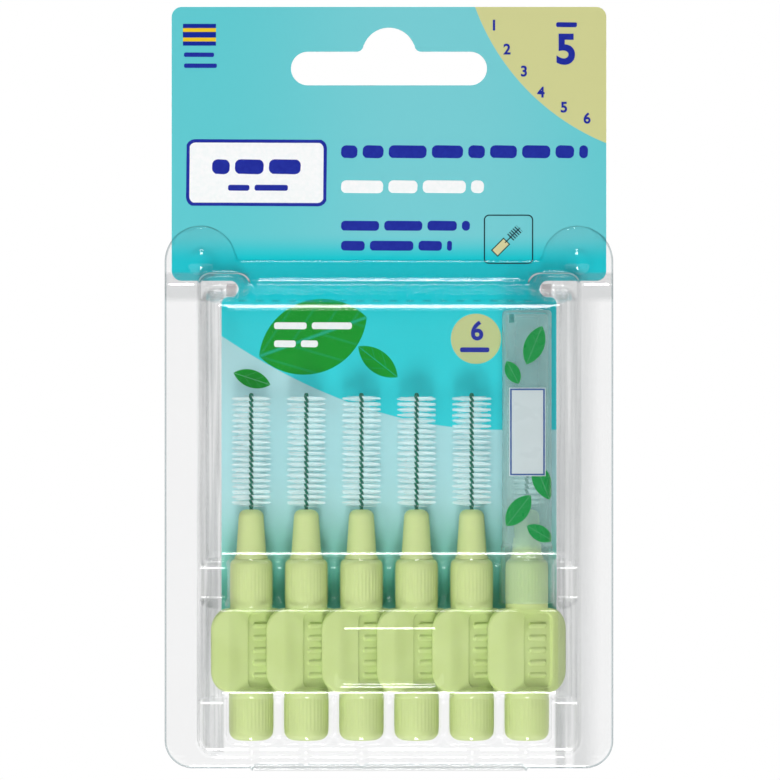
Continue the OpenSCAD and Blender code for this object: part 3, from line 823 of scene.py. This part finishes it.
def frontSheet(x, z):
    # the flange, its edge turned down as (1 - ease(distance / reach))^2, with the form raised on it; the
    # ears' domes, which are sphere caps sqrt(r^2 - d^2) - r + rise, the studs and the beads are added to that
    look = shellLook
    down, reach = look["lip"]
    sheet = flangeDepth(z) - down * (1 - ease(-outlineField(x, z, True) / reach)) ** 2
    radius, rise = look["dome"]
    away = np.hypot(np.abs(x) - look["earX"], z - look["earZ"])
    dome = softMost(np.sqrt(np.maximum(radius ** 2 - away ** 2, 0)) - radius + rise, 0 * away, 0.1)
    studX, studZ, radius, rise = look["stud"]
    stud = rise * ease(1.2 - np.hypot(np.abs(x) - studX, z - studZ) / radius)
    beads = sum(rise * ease(1 - np.abs(z - at) / half) * ease((long - np.abs(x)) / 0.5)
                for at, half, rise, long in look["beads"])
    return softMost(frontDepth(x, z), sheet, look["softJoin"]) + dome + stud + beads


def backSheet(x, z):
    # a shallow pan raised on the flange: twice as deep as the distance inside the tray's outline, up to a
    # flat floor
    look = shellLook
    away = np.minimum(np.minimum(look["trayHalf"] - np.abs(x), z - look["trayFoot"]), look["trayTop"] - z)
    atFloor, atFlange = look["panRound"]
    pan = softLeast(np.minimum(away, -trayField(x, z)) * look["panSlope"], look["pan"], atFloor)
    return softMost(pan, flangeDepth(z), atFlange)


def frontColumns():
    # the front sheet's columns, closer together at the channels, side walls, ears, panel and lugs
    look = shellLook
    arc = np.sin(np.linspace(-math.pi / 2, math.pi / 2, 17))
    runs = [np.linspace(-look["halfWidth"], look["halfWidth"], 60)]
    runs += [x0 + look["tailChannel"] * arc for x0 in brushX]
    for sign in (-1, 1):
        runs += [x0 + sign * np.array([4.4, 4.58, 4.66]) for x0 in brushX]
        runs.append(sign * np.linspace(29.6, 35.0, 24))
        runs.append(sign * (look["earX"] + np.linspace(-2.3, 2.3, 22)))
        runs.append(sign * (look["panel"][0] + np.linspace(-0.5, 0.5, 9)))
        runs.append(sign * (look["trayHalf"] - look["lug"][0] + np.linspace(-0.8, 1.4, 14)))
        runs.append(sign * np.array([39.3, 39.6, 39.85]))
    return thinned(np.concatenate(runs), 0.2)


def frontRows():
    # its rows, closer together where the profile turns: a height, the reach below and above it, and a count
    look = shellLook
    bottom = look["bottom"]
    _, halfHeight, middle, _, _ = look["panel"]
    runs = [
        (bottom, 0, look["above"] - bottom, 60), (bottom, 0, 2.2 - bottom, 9), (2.2, 0, 2.6, 24),
        (look["tailFoot"], 0.1, 7.0 - look["tailFoot"], 16), (look["pocketFoot"], 0.9, 0.4, 9),
        (look["pocketFloor"], 0.5, 1.5, 20), (middle - halfHeight, 0.5, 0.5, 9),
        (middle + halfHeight, 0.5, 0.5, 9), (look["pocketRoof"], 1.5, 0.4, 20),
        (look["pocketEnd"], 0.4, 0.9, 9), (look["stepFoot"], 0.9, 0.4, 9), (look["stepTop"], 0.5, 1.4, 20),
        (75.5, 0, 2.9, 9), (look["faceTop"], 1.5, 0.8, 18), (85.6, 0, 4.4, 24),
        (look["earZ"], 2.3, 2.3, 22), (92, 0, 5.3, 14), (look["notch"][1], 0, 0.25, 2),
    ]
    runs += [(at, half, half, 6) for at, half, _, _ in look["beads"]]
    rows = [np.linspace(at - below, at + above, count) for at, below, above, count in runs]
    return thinned(np.concatenate(rows), 0.15)


def backGrid():
    # the back sheet's columns and rows, closer together where the pan's walls stand
    look = shellLook
    walls = np.linspace(33.0, 34.8, 10)
    xs = np.concatenate([np.linspace(-look["halfWidth"], look["halfWidth"], 110), -walls, walls])
    zs = np.concatenate([np.linspace(look["bottom"], look["above"], 140), np.linspace(2.3, 4.1, 10),
                         np.linspace(85.4, 87.6, 12)])
    return thinned(xs, 0.1), thinned(zs, 0.1)


def sheetSkin(xs, zs, depthAt, notch, behind=False):
    # a sheet over the grid, cut to the flange's outline, with its border points moved onto that outline, each
    # by the field times its slope; and for the rim's painted dark tint, 10 minus each point's distance inside
    # the outline
    x, z = np.meshgrid(xs, zs)
    field = outlineField(x, z, notch)
    middle = (field[:-1, :-1] + field[1:, :-1] + field[:-1, 1:] + field[1:, 1:]) / 4
    kept = middle < -0.02
    touched = np.zeros(x.shape)
    for dr in (0, 1):
        for dc in (0, 1):
            touched[dr:dr + kept.shape[0], dc:dc + kept.shape[1]] += kept
    border = (touched > 0) & (touched < 4)
    small = 1e-3
    slopeX = (outlineField(x + small, z, notch) - outlineField(x - small, z, notch)) / (2 * small)
    slopeZ = (outlineField(x, z + small, notch) - outlineField(x, z - small, notch)) / (2 * small)
    x, z = np.where(border, x - field * slopeX, x), np.where(border, z - field * slopeZ, z)
    depth = depthAt(x, z)
    points = toFrame(x, -depth if behind else depth, z).reshape(-1, 3)
    quads = gridQuads(*x.shape)[kept.ravel()]
    used = np.unique(quads)
    renumber = np.zeros(len(points), int)
    renumber[used] = np.arange(len(used))
    quads = renumber[quads]
    rim = 10 + np.where(border, 0, field).ravel()[used]
    return (points[used], quads[:, ::-1] if behind else quads, np.zeros((0, 3), int)), rim


tintLook = {
    # where the sheet is greyer as painted shade and reflection, in millimetres across, before the parting
    # plane and up from the hang slot
    "wallX": (29.5, 31.5), "wallFacing": (0.4, 0.72), "wallShare": (1.35, 0.8), "wallSides": (-30.0, -20.0),
    "panX": ((29.3, 30.0), (34.3, 34.6)), "panDepth": (-1.6, -1.2),
    "insideX": ((29.6, 30.1), (31.2, 31.8)), "flangeX": ((32.6, 33.4), (34.0, 38.4)),
    "shadeZ": (-42.0, -40.5),
    "lugX": (24.5, 26.0), "lugZ": ((-42.0, -40.5), (-36.8, -36.2)),
    # the lug's notch, painted dark as shade, and the painted highlight line round it: middle, half size, and
    # the line's radius
    "notch": (28.0, -39.7), "notchX": (0.6, 1.2), "notchZ": (0.9, 1.4), "frontOnly": (0.0, 0.3),
    "fillet": (29.4, -41.6, 2.4, 2.8, 2.2), "filletLine": (0.07, 0.2), "filletZ": (-38.6, -37.6),
    "rim": (9.62, 9.85),
    # pale: the tone of the painted highlight line; dark, light and rose: tones of the painted grey and shade
    "dark": (158, 163, 165), "light": (172, 177, 179), "rose": (166, 146, 146), "pale": (236, 244, 246),
    "clear": (0.998, 0.9985, 0.999, 1), "rimClear": (0.86, 0.885, 0.89, 1),
    "streaks": (1.3, 0.15, 0.035),  # streaks a millimetre across, forward and up
    # how grey each of these is, as painted shade and reflection, or for the fillet's line a painted
    # highlight; the walls' and the pan's by the streaks and without them
    "wallGrey": (0.26, 0.12), "panGrey": (0.16, 0.1), "lugGrey": 0.1, "notchShade": 0.3, "filletHighlight": 0.6,
    "insideGrey": 0.11, "flangeGrey": 0.085, "cloudGrey": 0.008, "mostGrey": 0.9,
    "mirror": 0.03,  # the mirror's share in a sheet seen straight on
}


def clearFinish(name="clear_sheet", fold=0.0):
    # the mirror's share rises from that of a sheet seen straight on to 0.99 at a glancing angle, as (1 -
    # cos)^5; the drawn side walls are painted greyer, in upright streaks, and the cut rim is tinted darker,
    # both as painted shade and reflection that stand in for refraction; the lug gets a painted dark notch and
    # a painted highlight line
    tint = tintLook
    finish = Finish(name)
    x, depth, z = finish.place()
    facing = finish.facing()
    side = abs(x)
    cloud = finish.speckle(70.0, 2.0)
    perX, perDepth, perZ = tint["streaks"]
    drawn = finish.node("ShaderNodeCombineXYZ", {}, {0: x * perX, 1: depth * perDepth, 2: z * perZ})
    streak = finish.node("ShaderNodeTexNoise", {}, {"Vector": drawn, "Scale": 1.0, "Detail": 2.0})
    streak = streak.between(0.3, 0.7)
    wall = side.between(*tint["wallX"]) * facing.between(*tint["wallFacing"])
    panIn, panOut = tint["panX"]
    pan = side.between(*panIn) * side.until(*panOut) * depth.until(*tint["panDepth"])
    lugFoot, lugTop = tint["lugZ"]
    lug = side.between(*tint["lugX"]) * z.between(*lugFoot) * z.until(*lugTop)
    # painted shade: the walls are painted greyer on the left side than on the right
    share = x.between(*tint["wallSides"], *tint["wallShare"])
    # the right wall and the flange beside it are in the tray's shade
    insideIn, insideOut = tint["insideX"]
    flangeIn, flangeOut = tint["flangeX"]
    shade = x.between(*insideIn) * x.between(*insideOut, tint["insideGrey"], 0.0)
    shade = shade + x.between(*flangeIn) * x.between(*flangeOut, tint["flangeGrey"], 0.0)
    shade = shade * z.until(*tint["shadeZ"])
    front = depth.between(*tint["frontOnly"])
    notchX, notchZ = tint["notch"]
    # painted shade: a dark rose notch at the lug's end
    notch = abs(side - notchX).until(*tint["notchX"]) * abs(z - notchZ).until(*tint["notchZ"]) * front
    # painted highlight: a pale line round the lug's rounded outline
    filletX, filletZ, halfWidth, halfHeight, radius = tint["fillet"]
    line = abs(cornerField(side - filletX, z - filletZ, halfWidth, halfHeight) - radius)
    fillet = line.until(*tint["filletLine"]) * z.between(*tint["filletZ"]) * front
    wallStreak, wallPlain = tint["wallGrey"]
    panStreak, panPlain = tint["panGrey"]
    grey = (wall * (streak * wallStreak + wallPlain) + pan * (streak * panStreak + panPlain)) * share
    grey = grey + lug * tint["lugGrey"] + notch * tint["notchShade"] + fillet * tint["filletHighlight"] + shade
    grey = (grey + cloud * tint["cloudGrey"] + fold).least(tint["mostGrey"])
    tone = finish.mixed(cloud.between(0.3, 0.7), ink(*tint["dark"]), ink(*tint["light"]))
    tone = finish.mixed(fillet, finish.mixed(notch, tone, ink(*tint["rose"])), ink(*tint["pale"]))
    # painted shade: the cut rim's clear tint is darker, standing in for refraction at the sheet's edge
    rim = finish.node("ShaderNodeAttribute", {"attribute_name": "rim"}, out="Fac").between(*tint["rim"])
    clear = finish.through(finish.mixed(rim, tint["clear"], tint["rimClear"]))
    haze = finish.shine(Base_Color=tone, Roughness=0.4, Specular_IOR_Level=0.2)
    gloss = finish.node("ShaderNodeBsdfGlossy", {}, {"Color": (1, 1, 1, 1), "Roughness": 0.05})
    mirror = facing ** 5 * (0.99 - tint["mirror"]) + tint["mirror"]
    finish.done(finish.blended(mirror, finish.blended(grey, clear, haze), gloss))
    return finish.material


# printed card

cardLook = {
    "upper": (97, 203, 210), "middle": (120, 207, 214), "lower": (8, 202, 213), "tongue": (50, 210, 219),
    # deep: the lower print's tone in painted shade and green bounce light near the handles; pale: its tone
    # further up
    "corner": (210, 211, 148), "pale": (177, 221, 225), "deep": (108, 206, 188), "leaf": (0, 150, 38),
    "disc": (200, 208, 146), "navy": (10, 30, 150), "white": (246, 250, 250), "board": (240, 238, 230),
    "swatch": (16, 40, 150), "band": (238, 200, 40), "grip": (216, 212, 160), "outline": (14, 34, 44),
    "tear": (20, 110, 125),
}
cardPlace = {
    # rows of the photograph between which the header, the tongue and the lower print change colour, and over
    # which the lower print grows darker and greener towards the handles as painted shade
    "lowerRows": (262, 232), "tongueRows": (330, 292), "shadeRows": (595, 490), "tearRow": 301,
    # columns and rows: the lower print's curve, and the leaves, each with length, width and angle
    "curve": (500, 430),
    "leaves": ((313, 337, 20.5, 13.0, 20), (252, 379, 7.0, 3.2, -18), (378, 362, 9.0, 4.0, 142)),
    "disc": (476, 339), "swatch": (199.5, 35), "picture": (508.5, 239.5),
    # millimetres: swatch's half width and height; its bands' middle and edges; the picture's frame, as half
    # size, corner and edges; the brush's grip, stem and tuft, each as middle, half length and half width
    "swatchHalf": (2.95, 1.95), "bands": (0.85, 0.3, 0.38), "frame": (3.45, 0.85), "frameLine": (0.08, 0.14),
    "grip": (-2.0, 1.5, 0.75), "stem": (1.0, 1.9, 0.1), "tuft": (1.5, 1.25, 0.8), "tuftWave": 14.0,
    "gripLine": (0.06, 0.12),
    # millimetres: the header's pale middle, the circle of its corner, and the curve's bend
    "paleX": 9.0, "paleReach": (4.0, 42.0), "cornerCircle": (54.45, 25.2, 41.58), "bend": 0.00678,
    "tongueTop": (-41.2, -41.0), "neckHalf": (26.9, 27.0), "backBand": (-22.1, -22.0),
    "discRadius": (4.4, 4.55),
    "dashes": 2.1, "tearLine": (0.1, 0.22), "backDepth": (-0.12, -0.1), "cutDepth": (0.19, 0.198),
}


def headerPrint(finish, x, z):
    # palest about its middle, deeper below, with a pale corner inside a large circle past its upper right
    look, place = cardLook, cardPlace
    middle = abs(x - place["paleX"]).until(*place["paleReach"])
    colour = finish.mixed(middle, ink(*look["upper"]), ink(*look["middle"]))
    for rows, below in (("lowerRows", "lower"), ("tongueRows", "tongue")):
        low, high = (rowHeight(row) for row in place[rows])
        colour = finish.mixed(z.until(low, high), colour, ink(*look[below]))
    circleX, circleZ, radius = place["cornerCircle"]
    corner = (distance(x - circleX, z - circleZ) - radius).inside(0.08)
    return finish.mixed(corner, colour, ink(*look["corner"]))


def tonguePrint(finish, x, z, colour):
    # the lower print lies under a curve, z = low + bend * (start - x)^2; leaves and a disc lie over it
    look, place = cardLook, cardPlace
    startX, low = px(*place["curve"])
    rise = (startX - x).most(0.0)
    below = (z - (rise * rise * place["bend"] + low)).inside(0.12) * z.until(*place["tongueTop"])
    # painted shade: the lower print darkens and turns greener towards the handles, for their shade and their
    # green bounce light
    deepRow, paleRow = (rowHeight(row) for row in place["shadeRows"])
    shadeWash = finish.mixed(z.between(deepRow, paleRow), ink(*look["deep"]), ink(*look["pale"]))
    colour = finish.mixed(below, colour, shadeWash)
    for column, row, length, width, angle in place["leaves"]:
        leafX, leafZ = px(column, row)
        mask, vein = leafMask(x - leafX, z - leafZ, length, width, angle)
        colour = finish.mixed(mask * (vein * 0.3 + 0.7), colour, ink(*look["leaf"]))
    discX, discZ = px(*place["disc"])
    disc = distance(x - discX, z - discZ).until(*place["discRadius"])
    return finish.mixed(disc, colour, ink(*look["disc"]))


def smallPrint(finish, x, z, colour):
    # a navy swatch with two yellow bands, and a framed picture of a plain brush that lies at 45 degrees
    look, place = cardLook, cardPlace
    swatchX, swatchZ = px(*place["swatch"])
    swatch = boxField(x - swatchX, z - swatchZ, *place["swatchHalf"]).inside()
    bandAt, whole, gone = place["bands"]
    bands = abs(abs(z - swatchZ) - bandAt).until(whole, gone)
    colour = finish.mixed(swatch, colour, finish.mixed(bands, ink(*look["swatch"]), ink(*look["band"])))
    iconX, iconZ = px(*place["picture"])
    right, up = x - iconX, z - iconZ
    size, corner = place["frame"]
    outline = abs(cornerField(right, up, size, size) - corner).until(*place["frameLine"])
    slant = 0.7071  # cosine and sine of 45 degrees
    along, across = (right + up) * slant, (up - right) * slant
    grip, stem, tuft = (boxField(along - middle, across, halfLong, halfWide)
                        for middle, halfLong, halfWide in (place[key] for key in ("grip", "stem", "tuft")))
    tufts = tuft.inside() * (along * place["tuftWave"]).sine().between(-0.1, 0.2)
    colour = finish.mixed(grip.inside(), colour, ink(*look["grip"]))
    drawn = outline.most(stem.inside()).most(tufts).most(abs(grip).until(*place["gripLine"]))
    return finish.mixed(drawn, colour, ink(*look["outline"]))


def cardFinish():
    look, place = cardLook, cardPlace
    finish = Finish("printed_card")
    x, depth, z = finish.place()
    fibre = finish.speckle(1500.0, 3.0)
    colour = headerPrint(finish, x, z)
    colour = tonguePrint(finish, x, z, colour)
    colour = smallPrint(finish, x, z, colour)
    # tear line: short pressed dashes across the neck, dented and painted darker as shade in the dents
    dash = (x * place["dashes"]).sine().between(0.0, 0.25)
    line = abs(z - rowHeight(place["tearRow"])).until(*place["tearLine"])
    tear = dash * line * abs(x).until(*place["neckHalf"])
    colour = finish.mixed(tear * 0.5, colour, ink(*look["tear"]))
    # the back is plain board with a printed band, and the cut edges show the board
    rear = finish.mixed(z.between(*place["backBand"]), ink(*look["board"]), ink(*look["lower"]))
    colour = finish.mixed(depth.until(*place["backDepth"]), colour, rear)
    colour = finish.mixed(abs(depth).until(*place["cutDepth"]), colour, ink(*look["board"]))
    dent = finish.bump(fibre * 0.4 - tear * 3.0, 0.25, 0.00004)
    finish.done(finish.shine(Base_Color=colour, Roughness=fibre * 0.12 + 0.42, Normal=dent,
                             Specular_IOR_Level=0.12))
    return finish.material


def inkFinish(name, colour):
    finish = Finish(name)
    fibre = finish.speckle(1500.0, 3.0)
    paler = [min(255, level + 10) for level in colour]
    tone = finish.mixed(fibre.between(0.2, 0.8), ink(*colour), ink(*paler))
    finish.done(finish.shine(Base_Color=tone, Roughness=fibre * 0.1 + 0.36, Specular_IOR_Level=0.4))
    return finish.material


printLook = {
    # millimetres: front of each print before the parting plane, and its thickness
    "front": 0.225, "borderFront": 0.222, "faceFront": 0.232, "linesFront": 0.242, "thick": 0.02,
    # pixels of the photograph: gap between bars, their least and greatest width, and where a line may end
    "gap": 5, "bar": (14, 44), "end": 4,
    # lines of plain bars: first and last column, row, height, and the seed of the bars' widths
    "navyLines": ((341, 588, 152, 13, 3), (341, 470, 226, 10, 5), (341, 452, 246, 10, 8),
                  (184, 217, 55, 4.5, 6), (184, 217, 66, 4.5, 9), (556, 577, 25, 5, 4),
                  (460, 494, 350, 5, 1)),
    "whiteLines": ((341, 484, 187, 13, 4), (274, 352, 326, 7, 7), (274, 318, 344, 7, 2)),
    "plateLines": ((212, 302, 167, 15, 11), (228, 288, 188, 6, 12)),
    "plate": (186, 327, 173), "plateHeight": 12.0, "plateCorner": 1.6, "plateInner": 1.1, "plateRim": 0.6,
    # numbers: column, row and size in millimetres; how much bolder, as a share of the size, and how thick
    "scale": ((494, 26), (507, 50), (524, 72), (541, 93), (564, 108), (587, 119)), "scaleSize": 2.6,
    "size": (566, 51, 7.4), "count": (477, 332, 4.6), "bold": 0.03, "relief": 0.008,
}


def barSkin(bars, front):
    # flat round-ended bars just proud of the card: each a thin slab with an outline of 16 points, a corner
    # circle's middle plus its radius * (cos, sin) of the point's direction
    skins = []
    turn = np.linspace(0, 2 * math.pi, 16, endpoint=False)
    levels = (front - printLook["thick"], front)
    for x0, x1, z0, tall, corner in bars:
        halfWidth, halfHeight = (x1 - x0) / 2, tall / 2
        r = min(corner, halfWidth, halfHeight)
        x = (x0 + x1) / 2 + np.sign(np.cos(turn + 0.01)) * (halfWidth - r) + r * np.cos(turn)
        z = z0 + np.sign(np.sin(turn + 0.01)) * (halfHeight - r) + r * np.sin(turn)
        rings = np.stack([toFrame(x, level, z - packFoot) for level in levels])
        skins.append(tube(rings, *(toFrame((x0 + x1) / 2, level, z0 - packFoot) for level in levels)))
    return joined(skins)


def lineBars(lines):
    # each line as a row of plain bars with gaps
    narrow, wide = printLook["bar"]
    bars = []
    for at, end, row, tall, seed in lines:
        sizes = np.random.default_rng(seed)
        tall = tall / photo["scale"]
        while at < end - printLook["end"]:
            width = min(float(sizes.uniform(narrow, wide)), end - at)
            (x0, z), (x1, _) = px(at, row), px(at + width, row)
            bars.append((x0, x1, z, tall, 0.4 * tall))
            at += width + printLook["gap"]
    return bars


def plateBar(rim, corner):
    # the framed plate's outline, drawn in by rim
    left, right, row = printLook["plate"]
    (x0, z), (x1, _) = px(left, row), px(right, row)
    return x0 + rim, x1 - rim, z, printLook["plateHeight"] - 2 * rim, corner


def printBars(name, bars, front, finish):
    makePiece(name, barSkin(bars, front), finish, "pack", smooth=False)


def printNumber(name, text, column, row, size, finish):
    # a plain numeral as a thin mesh on the card's face
    curve = bpy.data.curves.new(name, "FONT")
    curve.body, curve.size, curve.extrude = text, size * mm, printLook["relief"] * mm
    curve.align_x, curve.align_y = "CENTER", "CENTER"
    curve.offset = printLook["bold"] * size * mm
    sample = bpy.data.objects.new(name, curve)
    bpy.context.scene.collection.objects.link(sample)
    bpy.context.view_layer.update()
    mesh = bpy.data.meshes.new_from_object(sample.evaluated_get(bpy.context.evaluated_depsgraph_get()))
    bpy.data.objects.remove(sample)
    co = np.zeros(len(mesh.vertices) * 3, np.float32)
    mesh.vertices.foreach_get("co", co)
    co = co.reshape(-1, 3)
    x, z = px(column, row)
    placed = np.stack([co[:, 0] + x * mm, -printLook["front"] * mm - co[:, 2], co[:, 1] + z * mm], -1)
    mesh.vertices.foreach_set("co", placed.astype(np.float32).ravel())
    mesh.update()
    settle(name, mesh, finish, "pack")


def refinish(node, finish):
    # a CAD node that stays, in a better material
    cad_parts[node].data.materials.clear()
    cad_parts[node].data.materials.append(finish)


# making the pieces

print("scene: card")
refinish("hang_card", cardFinish())
navy = inkFinish("navy_ink", cardLook["navy"])
white = inkFinish("white_ink", cardLook["white"])
for number, (column, row) in enumerate(printLook["scale"]):
    printNumber(f"scale_number_{number + 1}", str(number + 1), column, row, printLook["scaleSize"], navy)
printNumber("size_number", "5", *printLook["size"], navy)
printNumber("count_number", "6", *printLook["count"], navy)
printBars("navy_lines", lineBars(printLook["navyLines"]), printLook["front"], navy)
printBars("white_lines", lineBars(printLook["whiteLines"]), printLook["front"], white)
printBars("panel_border", [plateBar(0.0, printLook["plateCorner"])], printLook["borderFront"], navy)
printBars("panel_face", [plateBar(printLook["plateRim"], printLook["plateInner"])],
          printLook["faceFront"], white)
printBars("panel_lines", lineBars(printLook["plateLines"]), printLook["linesFront"], navy)

print("scene: handles")
plastic = plasticFinish()
for i in range(brushCount):
    makePiece(f"handle_{i + 1}_shape", handleSkin(brushX[i]), plastic, "pack",
              replaced=[f"handle_{i + 1}"])

print("scene: wires and filaments")
coated, filament = wireFinish(), filamentFinish()
for i in range(brushCount):
    makePiece(f"wire_{i + 1}_strands", wireSkin(i), coated, "pack", replaced=[f"wire_{i + 1}"])
    makePiece(f"bristles_{i + 1}_filaments", filamentSkin(i), filament, "pack", smooth=False,
              replaced=[f"bristles_{i + 1}"])

print("scene: travel cap")
makePiece("travel_cap_shape", capSkin(), capFinish(), "pack", replaced=["travel_cap"])

print("scene: clamshell")
clear = clearFinish()
xs, zs = frontColumns(), frontRows()
print("scene: sheet grid", len(xs), "by", len(zs))
frontSkin, frontRim = sheetSkin(xs, zs, frontSheet, notch=True)
front = makePiece("front_shell_sheet", frontSkin, clear, "front_half",
                  replaced=["front_shell"])
backSkin, backRim = sheetSkin(*backGrid(), backSheet, notch=False, behind=True)
back = makePiece("back_shell_sheet", backSkin, clear, "pack", replaced=["back_shell"])
for sheet, rim in ((front, frontRim), (back, backRim)):
    mark = sheet.data.attributes.new("rim", "FLOAT", "POINT")
    mark.data.foreach_set("value", rim.astype(np.float32))
    thick = sheet.modifiers.new("sheet", "SOLIDIFY")
    thick.thickness, thick.offset = shellLook["sheet"] * mm * shellLook["skin"], -1
refinish("living_hinge", clearFinish("folded_sheet", fold=0.18))

print("scene: floor, light and camera")
scene = bpy.context.scene
scene.view_settings.view_transform = "Standard"
scene.cycles.transparent_max_bounces = 40

floorLook = {
    "reach": 4.0, "level": -0.9,  # the pack hangs on its hook, so the floor lies well below it
    "dark": (236, 236, 236), "light": (240, 240, 240), "white": 0.9,
}
lightLook = {
    # name: place, width, height, watts
    "low": ((0.0, -0.68, -0.62), 0.2, 0.32, 4.0),
    "high": ((0.0, -0.52, 0.66), 0.2, 0.24, 2.2),
    "left": ((-0.55, -0.75, -0.25), 0.4, 0.4, 2.6),
    "right": ((0.9, 0.28, 0.05), 0.6, 0.6, 4.0),
    "back": ((-0.4, 0.9, 0.35), 0.7, 0.7, 5.5),
}
lightAim = (0.0, 0.0, -0.06)
shownLamps = ("low", "high")  # those whose reflections draw the bright lines along the sheet's edges
cameraLook = {"place": (0.00018, -0.8, -0.0574), "shown": 139.3, "away": 800, "sensor": 36}


def floorFinish():
    # white to the camera and in reflections, and pale paper for the light that falls on it
    finish = Finish("floor")
    seen, shiny = finish.rays()
    tone = finish.mixed(finish.speckle(4.0), ink(*floorLook["dark"]), ink(*floorLook["light"]))
    paper = finish.shine(Base_Color=tone, Roughness=0.8)
    white = finish.node("ShaderNodeEmission", {}, {"Color": (1, 1, 1, 1), "Strength": 1.0})
    finish.done(finish.blended(seen.most(shiny) * floorLook["white"], paper, white))
    return finish.material


reach, level = floorLook["reach"], floorLook["level"]
floorMesh = bpy.data.meshes.new("floor")
corners = ((-1, -1), (1, -1), (1, 1), (-1, 1))
floorMesh.from_pydata([(reach * x, reach * y, level) for x, y in corners], [], [(0, 1, 2, 3)])
floorMesh.materials.append(floorFinish())
floor = bpy.data.objects.new("floor", floorMesh)
scene.collection.objects.link(floor)

for name, (place, width, height, watts) in lightLook.items():
    lamp = bpy.data.lights.new(name, "AREA")
    lamp.shape, lamp.size, lamp.size_y, lamp.energy = "RECTANGLE", width, height, watts
    light = bpy.data.objects.new(name, lamp)
    scene.collection.objects.link(light)
    x, y, z = np.array(lightAim) - np.array(place)
    light.location = place
    light.visible_camera, light.visible_glossy = False, name in shownLamps
    light.rotation_euler = (math.atan2(math.hypot(x, y), -z), 0, math.atan2(-x, y))


# the white backdrop's reach behind the object and its height, the strengths of backdrop and room in gloss,
# and those of the light that they give
skyLook = {"behind": (0.0, 0.6), "height": (0.25, 0.7), "shown": (0.85, 0.12), "lit": (0.3, 0.18)}


class Sky(Finish):
    # the world's nodes, made in the same way as a material's
    def __init__(self, world):
        world.use_nodes = True
        self.tree = world.node_tree
        self.tree.nodes.clear()


scene.world = bpy.data.worlds.new("studio")
sky = Sky(scene.world)
# the camera sees white all round; gloss shows a white backdrop behind the object and a dimmer room in front
seen, shiny = sky.rays()
way = sky.node("ShaderNodeSeparateXYZ", {}, {0: sky.node("ShaderNodeTexCoord")}, out="Y")
backdrop = way.between(*skyLook["behind"]) * abs(way.also("Z")).until(*skyLook["height"])
shown, room = skyLook["shown"]
lit, dim = skyLook["lit"]
strength = seen.most(shiny * (backdrop * shown + room)).most(backdrop * lit + dim)
paint = sky.node("ShaderNodeBackground", {}, {"Color": (1.0, 1.0, 1.0, 1), "Strength": strength})
sky.done(paint, "ShaderNodeOutputWorld")

camera = bpy.data.objects.new("camera", bpy.data.cameras.new("camera"))
scene.collection.objects.link(camera)
camera.location = cameraLook["place"]
camera.rotation_euler = (math.pi / 2, 0, 0)
camera.data.sensor_width = cameraLook["sensor"]
camera.data.lens = cameraLook["sensor"] * cameraLook["away"] / cameraLook["shown"]
camera.data.clip_start, camera.data.clip_end = 0.05, 20
scene.camera = camera
